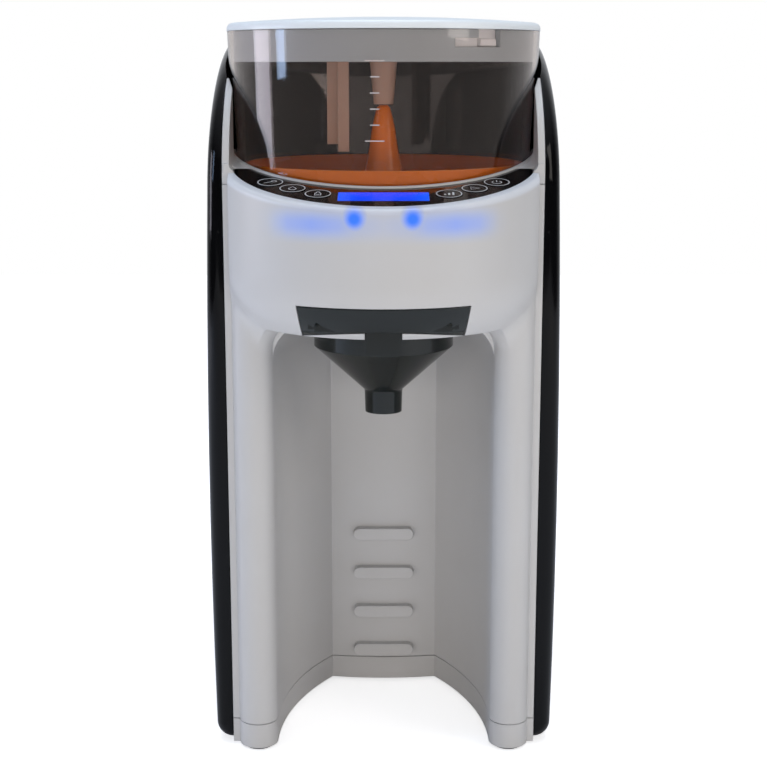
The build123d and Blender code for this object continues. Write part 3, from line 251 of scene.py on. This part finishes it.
apart = add_node(tree, "ShaderNodeVectorMath", {0: from_led.outputs[0]}, operation="LENGTH")
painted_led_spot = add_node(tree, "ShaderNodeMapRange", {0: apart.outputs["Value"], 1: led_reach,
                                             2: led_core}, interpolation_type="SMOOTHSTEP")
painted_glow_shape = add_node(tree, "ShaderNodeMath", {0: painted_wash.outputs[0], 1: painted_led_spot.outputs[0]},
               operation="MAXIMUM")
painted_glow_mask = add_node(tree, "ShaderNodeMath", {0: painted_glow_shape.outputs[0], 1: facing_out.outputs[0]},
                 operation="MULTIPLY")
painted_glow_power = add_node(tree, "ShaderNodeMath", {0: painted_glow_mask.outputs[0], 1: painted_glow_level},
                 operation="MULTIPLY")
deck_slope = math.radians(12.0)
upright = Vector((0, -math.sin(deck_slope), math.cos(deck_slope)))
# Painted highlight on the rim: within rim_depth of the housing's top the surface emits a faint
# pale blue light.
rim_top = max(vertex.co.dot(upright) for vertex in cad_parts["front_housing"].data.vertices)
over_deck = add_node(tree, "ShaderNodeVectorMath", {0: place, 1: upright},
                     operation="DOT_PRODUCT")
painted_rim_highlight = add_node(tree, "ShaderNodeMapRange", {
    0: over_deck.outputs["Value"], 1: rim_top - rim_depth, 2: rim_top - rim_depth + rim_fade,
    4: painted_rim_level},
    interpolation_type="SMOOTHSTEP")
painted_glow_strength = add_node(tree, "ShaderNodeMath", {0: painted_glow_power.outputs[0], 1: painted_rim_highlight.outputs[0]},
                   operation="MAXIMUM")
# Painted glow: the colour the surface emits, and the blue painted into its base colour where the
# glow lies.
painted_glow_colour = add_node(tree, "ShaderNodeMix", {0: painted_glow_mask.outputs[0], 6: linear("#C4DCFF"),
                                        7: linear("#1466FF")}, data_type="RGBA")
painted_blue_tint = add_node(tree, "ShaderNodeMix", {
    0: painted_glow_mask.outputs[0], 6: plastic.inputs["Base Color"].links[0].from_socket,
    7: linear("#3C70C8")}, data_type="RGBA")
tree.links.new(painted_blue_tint.outputs[2], plastic.inputs["Base Color"])
tree.links.new(painted_glow_colour.outputs[2], plastic.inputs["Emission Color"])
tree.links.new(painted_glow_strength.outputs[0], plastic.inputs["Emission Strength"])
finish_nodes(white_with_painted_glow, "front_housing")

# ------------------------------------------------------------------ base tray and bezel
# The tray under the housings and the sloping deck round the bowl come from the same white
# ABS. The tray is screwed up into the tower from below; the deck snaps in behind the nose.
white_abs, _ = moulded("abs_satin_white", **satin)
finish_nodes(white_abs, "base_tray", "top_bezel")

# Four pan head screws in bright zinc: faint spangles under small scuffs, and a cool, even shine.
zinc, tree, out = new_material("steel_zinc_plated")
place = add_node(tree, "ShaderNodeTexCoord").outputs["Object"]
spangle = add_node(tree, "ShaderNodeTexVoronoi", {"Vector": place, "Scale": 1 / (1.5 * mm)})
scuffs = add_node(tree, "ShaderNodeTexNoise", {"Vector": place, "Scale": 1 / (0.8 * mm),
                                               "Detail": 4.0})
plating = add_node(tree, "ShaderNodeMix", {0: spangle.outputs["Distance"], 6: linear("#BFC3C6"),
                                           7: linear("#A9AFB6")}, data_type="RGBA")
rough = add_node(tree, "ShaderNodeMapRange", {0: scuffs.outputs["Fac"], 3: 0.22, 4: 0.45})
marks = add_node(tree, "ShaderNodeBump", {"Height": scuffs.outputs["Fac"], "Strength": 0.15,
                                          "Distance": 0.05 * mm})
metal = add_node(tree, "ShaderNodeBsdfPrincipled", {
    "Base Color": plating.outputs[2], "Metallic": 1.0, "Roughness": rough.outputs[0],
    "Normal": marks.outputs[0]})
tree.links.new(metal.outputs[0], out.inputs["Surface"])
finish_nodes(zinc, "base_screws", "heater_bracket", "gear_motor", "tank_hinge_pin")

# Six feet and the lead's bushing: black rubber with a dusty bloom and small pores.
rubber, _ = moulded("rubber_moulded_black", fresh="#1B1B1C", aged="#242322", worn="#333231",
                    gloss=(0.7, 0.9), grain=0.7 * mm, relief=0.35)
finish_nodes(rubber, "rubber_feet", "cord_gland", "pump_mount")

# ------------------------------------------------------------------ control panel
# A crescent of gloss black acrylic, printed from behind, lies flush in the deck. Its surface
# is nearly a mirror, dulled here and there by fingers.
acrylic, tree, out = new_material("acrylic_gloss_black")
place = add_node(tree, "ShaderNodeTexCoord").outputs["Object"]
prints = add_node(tree, "ShaderNodeTexVoronoi", {"Vector": place, "Scale": 1 / (14 * mm)},
                  feature="SMOOTH_F1")
ridges = add_node(tree, "ShaderNodeTexNoise", {"Vector": place, "Scale": 1 / (1.6 * mm),
                                               "Detail": 3.0})
dabs = add_node(tree, "ShaderNodeMapRange", {0: prints.outputs["Distance"], 1: 0.35, 2: 0.15})
greasy = add_node(tree, "ShaderNodeMath", {0: dabs.outputs[0], 1: ridges.outputs["Fac"]},
                  operation="MULTIPLY")
polish = add_node(tree, "ShaderNodeMapRange", {0: greasy.outputs[0], 3: 0.06, 4: 0.22})
depth_print = add_node(tree, "ShaderNodeMix", {0: ridges.outputs["Fac"], 6: linear("#060607"),
                                               7: linear("#0C0B0D")}, data_type="RGBA")
soft = add_node(tree, "ShaderNodeBevel", {"Radius": 0.3 * mm}, samples=4)
film = add_node(tree, "ShaderNodeBsdfPrincipled", {
    "Base Color": depth_print.outputs[2], "Roughness": polish.outputs[0], "IOR": 1.49,
    "Normal": soft.outputs[0]})
tree.links.new(film.outputs[0], out.inputs["Surface"])
key_names = ("key_settings", "key_water", "key_bottle", "key_volume", "key_start", "key_power")
finish_nodes(acrylic, "control_fascia", *key_names)

# The display is a lit liquid crystal cell behind a clear window: saturated blue, a little
# paler at its ends where the LEDs feed it, with the cell's rows just visible. The rows are
# 0.3 mm apart on a real cell and drawn at 1.2 mm, the finest that still shows; a wave texture
# repeats every tau / 20 of its unit.
lcd, tree, out = new_material("lcd_backlit_blue")
low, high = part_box("display_window")
place = add_node(tree, "ShaderNodeTexCoord").outputs["Object"]
axes = add_node(tree, "ShaderNodeSeparateXYZ", {0: place})
row_pitch = 1.2 * mm
rows = add_node(tree, "ShaderNodeTexWave", {
    "Vector": place, "Scale": math.tau / 20 / row_pitch, "Distortion": 0.0}, bands_direction="Y")
side = add_node(tree, "ShaderNodeMath", {0: axes.outputs["X"]}, operation="ABSOLUTE")
ends = add_node(tree, "ShaderNodeMapRange", {0: side.outputs[0], 1: 0.55 * high.x, 2: high.x})
light = add_node(tree, "ShaderNodeMix", {0: ends.outputs[0], 6: linear("#0046FF"),
                                         7: linear("#0A5CFF")}, data_type="RGBA")
drive = add_node(tree, "ShaderNodeMapRange", {0: rows.outputs["Fac"], 3: 0.94, 4: 1.0})
cell = add_node(tree, "ShaderNodeBsdfPrincipled", {
    "Base Color": linear("#050A30"), "Roughness": 0.12, "IOR": 1.49,
    "Specular IOR Level": 0.2,
    "Emission Color": light.outputs[2], "Emission Strength": drive.outputs[0]})
tree.links.new(cell.outputs[0], out.inputs["Surface"])
finish_nodes(lcd, "display_window")

# White marks are printed on the key caps: a ring and a plain symbol each. The ink lies 0.03 mm
# proud and its coverage is slightly broken.
sideways = Vector((1, 0, 0))
uphill = Vector((0, math.cos(deck_slope), math.sin(deck_slope)))
ink_height = 0.03 * mm


def arc(x, y, radius, start, end):
    """Points on a circle between two angles in degrees, one every 10 degrees."""
    count = max(2, round(abs(end - start) / 10))
    turns = [math.radians(start + (end - start) * step / count) for step in range(count + 1)]
    return [(x + radius * math.cos(turn), y + radius * math.sin(turn)) for turn in turns]


def ink(name, strokes, place, body, material):
    """Printed strokes as thin solids. A stroke is its points and its width, in mm; place turns
    a point and its height over the surface into a place on the object."""
    layer = bmesh.new()
    for points, width in strokes:
        closed = points[0] == points[-1]
        line = [Vector(point) for point in (points[:-1] if closed else points)]
        rungs = []
        for index, point in enumerate(line):
            before = line[index - 1] if closed or index else point
            after = line[(index + 1) % len(line)] if closed or index + 1 < len(line) else point
            along = ((point - before).normalized() + (after - point).normalized()).normalized()
            aside = Vector((-along.y, along.x)) * width / 2
            corners = ((aside, ink_height), (-aside, ink_height), (-aside, 0), (aside, 0))
            rungs.append([layer.verts.new(place(point + shift, lift)) for shift, lift in corners])
        pairs = list(zip(rungs, rungs[1:] + rungs[:1] if closed else rungs[1:]))
        for here, there in pairs:
            for corner in range(4):
                following = (corner + 1) % 4
                layer.faces.new((here[corner], there[corner], there[following], here[following]))
        if not closed:
            layer.faces.new(rungs[0])
            layer.faces.new(reversed(rungs[-1]))
    bmesh.ops.recalc_face_normals(layer, faces=layer.faces)
    mesh = bpy.data.meshes.new(name)
    layer.to_mesh(mesh)
    layer.free()
    mesh.materials.append(material)
    printed = bpy.data.objects.new(name, mesh)
    scene.collection.objects.link(printed)
    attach(printed, body)
    return printed


def cap_middle(key):
    """Middle of a key's flat top."""
    points = [vertex.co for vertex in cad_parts[key].data.vertices]
    top = max(point.dot(upright) for point in points)
    face = [point for point in points if top - point.dot(upright) < 0.02 * mm]
    reach = [point.dot(uphill) for point in face]
    width = [point.x for point in face]
    return (sideways * (min(width) + max(width)) / 2 + uphill * (min(reach) + max(reach)) / 2
            + upright * top)


white_ink, tree, out = new_material("pad_print_white")
place = add_node(tree, "ShaderNodeTexCoord").outputs["Object"]
cover = add_node(tree, "ShaderNodeTexNoise", {"Vector": place, "Scale": 1 / (0.9 * mm),
                                              "Detail": 3.0})
pigment = add_node(tree, "ShaderNodeMix", {0: cover.outputs["Fac"], 6: linear("#F4F5F7"),
                                           7: linear("#B9BCC2")}, data_type="RGBA")
dry = add_node(tree, "ShaderNodeMapRange", {0: cover.outputs["Fac"], 3: 0.4, 4: 0.65})
lacquer = add_node(tree, "ShaderNodeBsdfPrincipled", {
    "Base Color": pigment.outputs[2], "Roughness": dry.outputs[0], "IOR": 1.5})
tree.links.new(lacquer.outputs[0], out.inputs["Surface"])

line, ring_radius, ring_width = 0.38, 5.5, 0.42
bottle = [(-1.3, -2.5), (1.3, -2.5), (1.3, 0.5), (0.7, 1.1), (0.6, 1.8), (0.3, 2.5),
          (-0.3, 2.5), (-0.6, 1.8), (-0.7, 1.1), (-1.3, 0.5), (-1.3, -2.5)]
drop = arc(0, -0.8, 1.6, 30, -210) + [(0.0, 2.4)]
symbols = {
    "key_settings": [([(-2.8, -1.7), (0.6, 0.6)], line), (arc(1.6, 1.2, 1.1, 0, 350), line)],
    "key_water": [(drop + drop[:1], line)],
    "key_bottle": [(bottle, line), ([(-0.7, -1.3), (0.7, -1.3)], line)],
    "key_volume": [([(x, -2.0), (x, -2.0 + rise)], 0.9)
                   for x, rise in ((-1.8, 1.4), (0.0, 2.7), (1.8, 4.0))],
    "key_start": [([(-1.6, -1.9), (2.2, 0.0), (-1.6, 1.9), (-1.6, -1.9)], line)],
    "key_power": [(arc(0, -0.3, 2.1, 125, 415), line), ([(0.0, 0.0), (0.0, 2.5)], line)],
}
ring = arc(0, 0, ring_radius, 0, 350)
for key, symbol in symbols.items():
    middle = cap_middle(key)

    def on_cap(point, height):
        """A place on this key's cap: x runs across it and y up the deck."""
        return middle + sideways * point[0] * mm + uphill * point[1] * mm + upright * height

    ink(key.replace("key_", "mark_"), symbol + [(ring + ring[:1], ring_width)], on_cap, key,
        white_ink)

# ------------------------------------------------------------------ flanks
# Two side shells in high-gloss black ABS, polished in the mould: a faint orange peel bends
# the highlights and wiping has left hairlines that only show inside them.
gloss_black, tree, out = new_material("abs_high_gloss_black")
place = add_node(tree, "ShaderNodeTexCoord").outputs["Object"]
peel = add_node(tree, "ShaderNodeTexNoise", {"Vector": place, "Scale": 1 / (5 * mm),
                                             "Detail": 1.0})
stretch = add_node(tree, "ShaderNodeMapping", {"Vector": place, "Scale": (1.0, 1.0, 0.12)})
wipes = add_node(tree, "ShaderNodeTexNoise", {"Vector": stretch.outputs[0],
                                              "Scale": 1 / (4 * mm), "Detail": 8.0})
polish = add_node(tree, "ShaderNodeMapRange", {0: wipes.outputs["Fac"], 1: 0.35, 2: 0.75,
                                               3: 0.04, 4: 0.13})
shade = add_node(tree, "ShaderNodeMix", {0: wipes.outputs["Fac"], 6: linear("#050506"),
                                         7: linear("#0B0B0D")}, data_type="RGBA")
soft = add_node(tree, "ShaderNodeBevel", {"Radius": 0.5 * mm}, samples=4)
waves = add_node(tree, "ShaderNodeBump", {"Height": peel.outputs["Fac"], "Strength": 0.05,
                                          "Distance": 0.1 * mm, "Normal": soft.outputs[0]})
glossy = add_node(tree, "ShaderNodeBsdfPrincipled", {
    "Base Color": shade.outputs[2], "Roughness": polish.outputs[0], "IOR": 1.53,
    "Specular IOR Level": 0.18, "Normal": waves.outputs[0]})
tree.links.new(glossy.outputs[0], out.inputs["Surface"])
finish_nodes(gloss_black, "left_side_panel", "right_side_panel")

# ------------------------------------------------------------------ tower and dock
# Rear housing and tank dock: black ABS with a leather-like texture etched in the mould, which
# stays dull and hides scratches. The etched cells are 1 mm across.
textured, _ = moulded("abs_etched_black", fresh="#151517", aged="#1B1A1A", worn="#2C2B2C",
                      gloss=(0.45, 0.6), grain=1.0 * mm, relief=0.45)
finish_nodes(textured, "rear_housing", "tank_dock", "gearbox_plate", "powder_chute",
             "water_nozzle", "funnel_rails", "dock_pin", "tank_valve", "valve_plunger")

# ------------------------------------------------------------------ powder bowl
# Clear copolyester with a warm smoke tint, moulded thin in a polished mould, so that long
# lights run down it and its edges look brown. Wiping leaves a slight haze on it.
def clear_plastic(name, tint, shadow, haze, size):
    """See-through moulding: tinted, polished, with rub marks of a size (m). Light that passes
    through it takes the shadow colour."""
    material, tree, out = new_material(name)
    place = add_node(tree, "ShaderNodeTexCoord").outputs["Object"]
    long = add_node(tree, "ShaderNodeMapping", {"Vector": place, "Scale": (1.0, 1.0, 0.2)})
    rubs = add_node(tree, "ShaderNodeTexNoise", {"Vector": long.outputs[0], "Scale": 1 / size,
                                                 "Detail": 6.0})
    polish = add_node(tree, "ShaderNodeMapRange", {0: rubs.outputs["Fac"], 1: 0.4, 2: 0.8,
                                                   3: haze[0], 4: haze[1]})
    hue = add_node(tree, "ShaderNodeMix", {0: rubs.outputs["Fac"], 6: linear(tint),
                                           7: linear(shadow)}, data_type="RGBA")
    flow = add_node(tree, "ShaderNodeBump", {"Height": rubs.outputs["Fac"], "Strength": 0.03,
                                             "Distance": 0.1 * mm})
    wall = add_node(tree, "ShaderNodeBsdfPrincipled", {
        "Base Color": hue.outputs[2], "Roughness": polish.outputs[0], "IOR": 1.45,
        "Transmission Weight": 1.0, "Normal": flow.outputs[0]})
    passing = add_node(tree, "ShaderNodeBsdfTransparent", {"Color": linear(shadow)})
    ray = add_node(tree, "ShaderNodeLightPath")
    chosen = add_node(tree, "ShaderNodeMixShader", {0: ray.outputs["Is Shadow Ray"],
                                                    1: wall.outputs[0], 2: passing.outputs[0]})
    tree.links.new(chosen.outputs[0], out.inputs["Surface"])
    return material


smoke = clear_plastic("copolyester_smoke_clear", "#F4EEED", "#EEE7E4", (0.015, 0.05), 9 * mm)
tree = smoke.node_tree
depth_tint = add_node(tree, "ShaderNodeVolumeAbsorption", {"Color": linear("#8A7360"),
                                                           "Density": 90.0})
outlet = tree.get_output_node("ALL")
tree.links.new(depth_tint.outputs[0], outlet.inputs["Volume"])
finish_nodes(smoke, "bowl_shell")

# The locking ring inside the rim is satin grey ABS, a touch paler on its rubbed slot edges.
grey_abs, _ = moulded("abs_satin_grey", fresh="#B2C0C8", aged="#ABB8BE", worn="#C0CACE",
                      gloss=(0.28, 0.4), grain=0.8 * mm, relief=0.1)
finish_nodes(grey_abs, "bowl_collar")

# Level ticks are printed on the front of the bowl: a long one at each end of the scale and
# short ones between, all without words or figures.
low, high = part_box("bowl_shell")
bowl_y, rim_radius = (low.y + high.y) / 2, high.x
flare_height, waist_radius = low.z + 24 * mm, 72.4 * mm
tick_turn, tick_step, tick_start, tick_width = math.radians(-3), 6.9, 20.3, 0.55
long_tick, short_tick, short_count = 4.2, 2.0, 4
faint_ink, tree, out = new_material("screen_print_pale_grey")
place = add_node(tree, "ShaderNodeTexCoord").outputs["Object"]
mesh_holes = add_node(tree, "ShaderNodeTexNoise", {"Vector": place, "Scale": 1 / (0.8 * mm),
                                                   "Detail": 2.0})
grey = add_node(tree, "ShaderNodeMix", {0: mesh_holes.outputs["Fac"], 6: linear("#D2CDCE"),
                                        7: linear("#B4AFB0")}, data_type="RGBA")
mattness = add_node(tree, "ShaderNodeMapRange", {0: mesh_holes.outputs["Fac"], 3: 0.45, 4: 0.7})
matt = add_node(tree, "ShaderNodeBsdfPrincipled", {
    "Base Color": grey.outputs[2], "Roughness": mattness.outputs[0], "IOR": 1.5})
tree.links.new(matt.outputs[0], out.inputs["Surface"])


def on_bowl(point, height):
    """A place on the bowl's flaring wall: x runs round it and y up it."""
    rise = point[1] * mm / (high.z - flare_height)
    radius = waist_radius + (rim_radius - waist_radius) * rise + height
    turn = tick_turn + point[0] * mm / waist_radius
    return Vector((radius * math.sin(turn), bowl_y - radius * math.cos(turn),
                   flare_height + point[1] * mm))


halves = [long_tick] + [short_tick] * short_count + [long_tick]
ticks = [([(-half, tick_start + step * tick_step), (half, tick_start + step * tick_step)],
          tick_width) for step, half in enumerate(halves)]
ink("bowl_level_ticks", ticks, on_bowl, "bowl", faint_ink)

# ------------------------------------------------------------------ dosing wheel
# Dish and cone are one orange polypropylene moulding, whose hub turns in the bowl's floor: a
# waxy sheen, with edges that powder and washing have rubbed paler.
orange_pp, plastic = moulded("polypropylene_orange", fresh="#F28400", aged="#E67600",
                             worn="#FFA01C", gloss=(0.22, 0.36), grain=1.2 * mm, relief=0.06)
plastic.inputs["IOR"].default_value = 1.49
finish_nodes(orange_pp, "powder_wheel")

# ------------------------------------------------------------------ lid
# Lid cap in white ABS, smoother than the body and bare of any print; its colour is painted a
# little brighter and bluer than the body's, a painted highlight of the cool light from above.
# The posts under it are uncoloured polypropylene, into which light soaks a few millimetres,
# and the ring in its skirt is milky silicone, like the hoses.
lid_abs_painted_top_light, _ = moulded("abs_satin_white_painted_top_light", fresh="#F2F8FC", aged="#EDF3F7", worn="#F6FAFD",
                     gloss=(0.26, 0.36), grain=0.8 * mm, relief=0.08)
finish_nodes(lid_abs_painted_top_light, "lid_cap")
natural_pp, plastic = moulded("polypropylene_natural", fresh="#CDB4A6", aged="#C2A795",
                              worn="#DCC8BA", gloss=(0.3, 0.45), grain=1.0 * mm, relief=0.08)
plastic.inputs["Subsurface Weight"].default_value = 0.3
plastic.inputs["Subsurface Radius"].default_value = (0.003, 0.002, 0.0015)
finish_nodes(natural_pp, "lid_posts", "drive_gear", "idler_gear", "motor_pinion")
silicone, plastic = moulded("silicone_moulded_clear", fresh="#B9B8B4", aged="#B0AEA8",
                            worn="#C6C5C1", gloss=(0.35, 0.5), grain=1.5 * mm, relief=0.1)
plastic.inputs["Transmission Weight"].default_value = 0.35
plastic.inputs["IOR"].default_value = 1.41
finish_nodes(silicone, "lid_seal", "dock_seal", "tank_hose", "heater_hose", "nozzle_hose")

# ------------------------------------------------------------------ mixing funnel
# Funnel and its sliding front are moulded in one dark smoky green copolyester: polished, and
# see-through only where light stands behind it.
green_smoke, plastic = moulded("copolyester_dark_green", fresh="#141C19", aged="#0F1513",
                               worn="#2A332F", gloss=(0.10, 0.2), grain=2.5 * mm, relief=0.04)
plastic.inputs["Transmission Weight"].default_value = 0.35
finish_nodes(green_smoke, "funnel_cover", "mixing_funnel")

# ------------------------------------------------------------------ water tank
# Shell and lid in grey smoke copolyester, with faint rub marks.
tank_smoke = clear_plastic("copolyester_smoke_grey", "#C9CBD0", "#B4B6BB", (0.03, 0.12), 14 * mm)
finish_nodes(tank_smoke, "tank_shell", "tank_lid")

# Level lines are printed on the tank's back, one every 50 mm, with shorter ones between.
low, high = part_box("tank_shell")
line_foot, line_step, line_count, line_width = 40.0, 25.0, 10, 0.6
full_line, half_line = 14.0, 7.0


def on_tank(point, height):
    """A place on the tank's flat back: x runs across it and y up it."""
    return Vector((point[0] * mm, high.y + height, low.z + point[1] * mm))


levels = []
for step in range(line_count):
    reach, rise = (half_line if step % 2 else full_line), line_foot + step * line_step
    levels.append(([(-reach, rise), (reach, rise)], line_width))
ink("tank_level_lines", levels, on_tank, "tank", white_ink)

# ------------------------------------------------------------------ light guide and electrics
# The light guide is clear acrylic, frosted at its back so that it glows evenly.
guide = clear_plastic("acrylic_frosted_clear", "#E8F0FA", "#D6E2F2", (0.25, 0.4), 3 * mm)
finish_nodes(guide, "light_guide")

# Circuit boards: green solder resist over glass cloth, with the tracks standing up a little.
# Tracks are drawn 2 mm apart.
board_green, tree, out = new_material("solder_resist_green")
place = add_node(tree, "ShaderNodeTexCoord").outputs["Object"]
tracks = add_node(tree, "ShaderNodeTexBrick", {
    "Vector": place, "Scale": 1 / (8 * mm), "Color1": linear("#0B4A22"),
    "Color2": linear("#0E5528"), "Mortar": linear("#2C7A3F"), "Mortar Size": 0.03})
cloth_weave = add_node(tree, "ShaderNodeTexNoise", {"Vector": place, "Scale": 1 / (1.0 * mm),
                                                    "Detail": 2.0})
stand = add_node(tree, "ShaderNodeBump", {"Height": tracks.outputs["Fac"], "Strength": 0.2,
                                          "Distance": 0.05 * mm})
resist_gloss = add_node(tree, "ShaderNodeMapRange", {0: cloth_weave.outputs["Fac"], 3: 0.2,
                                                     4: 0.35})
resist = add_node(tree, "ShaderNodeBsdfPrincipled", {
    "Base Color": tracks.outputs["Color"], "Roughness": resist_gloss.outputs[0], "IOR": 1.52,
    "Normal": stand.outputs[0]})
tree.links.new(resist.outputs[0], out.inputs["Surface"])
finish_nodes(board_green, "control_board", "main_board")

# Switches, relays and the pump's case: black moulding compound, dull and gritty.
epoxy, _ = moulded("epoxy_moulded_black", fresh="#1A1A1B", aged="#202020", worn="#3A3A3A",
                   gloss=(0.5, 0.7), grain=0.8 * mm, relief=0.25)
finish_nodes(epoxy, "key_switches", "board_parts", "funnel_switch", "water_pump")

# The heater's body is die-cast aluminium, shot blasted: an even sparkle of small dents.
cast_alu, tree, out = new_material("aluminium_die_cast")
place = add_node(tree, "ShaderNodeTexCoord").outputs["Object"]
dents = add_node(tree, "ShaderNodeTexVoronoi", {"Vector": place, "Scale": 1 / (1.2 * mm)})
heat = add_node(tree, "ShaderNodeTexNoise", {"Vector": place, "Scale": 1 / (30 * mm)})
skin = add_node(tree, "ShaderNodeMix", {0: heat.outputs["Fac"], 6: linear("#C4C5C7"),
                                        7: linear("#B5B1AA")}, data_type="RGBA")
blast = add_node(tree, "ShaderNodeBump", {"Height": dents.outputs["Distance"], "Strength": 0.3,
                                          "Distance": 0.1 * mm})
dull = add_node(tree, "ShaderNodeMapRange", {0: heat.outputs["Fac"], 3: 0.38, 4: 0.55})
casting = add_node(tree, "ShaderNodeBsdfPrincipled", {
    "Base Color": skin.outputs[2], "Metallic": 1.0, "Roughness": dull.outputs[0],
    "Normal": blast.outputs[0]})
tree.links.new(casting.outputs[0], out.inputs["Surface"])
finish_nodes(cast_alu, "water_heater")

size = {"cad": [list(corner) for corner in cad_box],
        "visual": [list(corner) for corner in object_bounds()]}
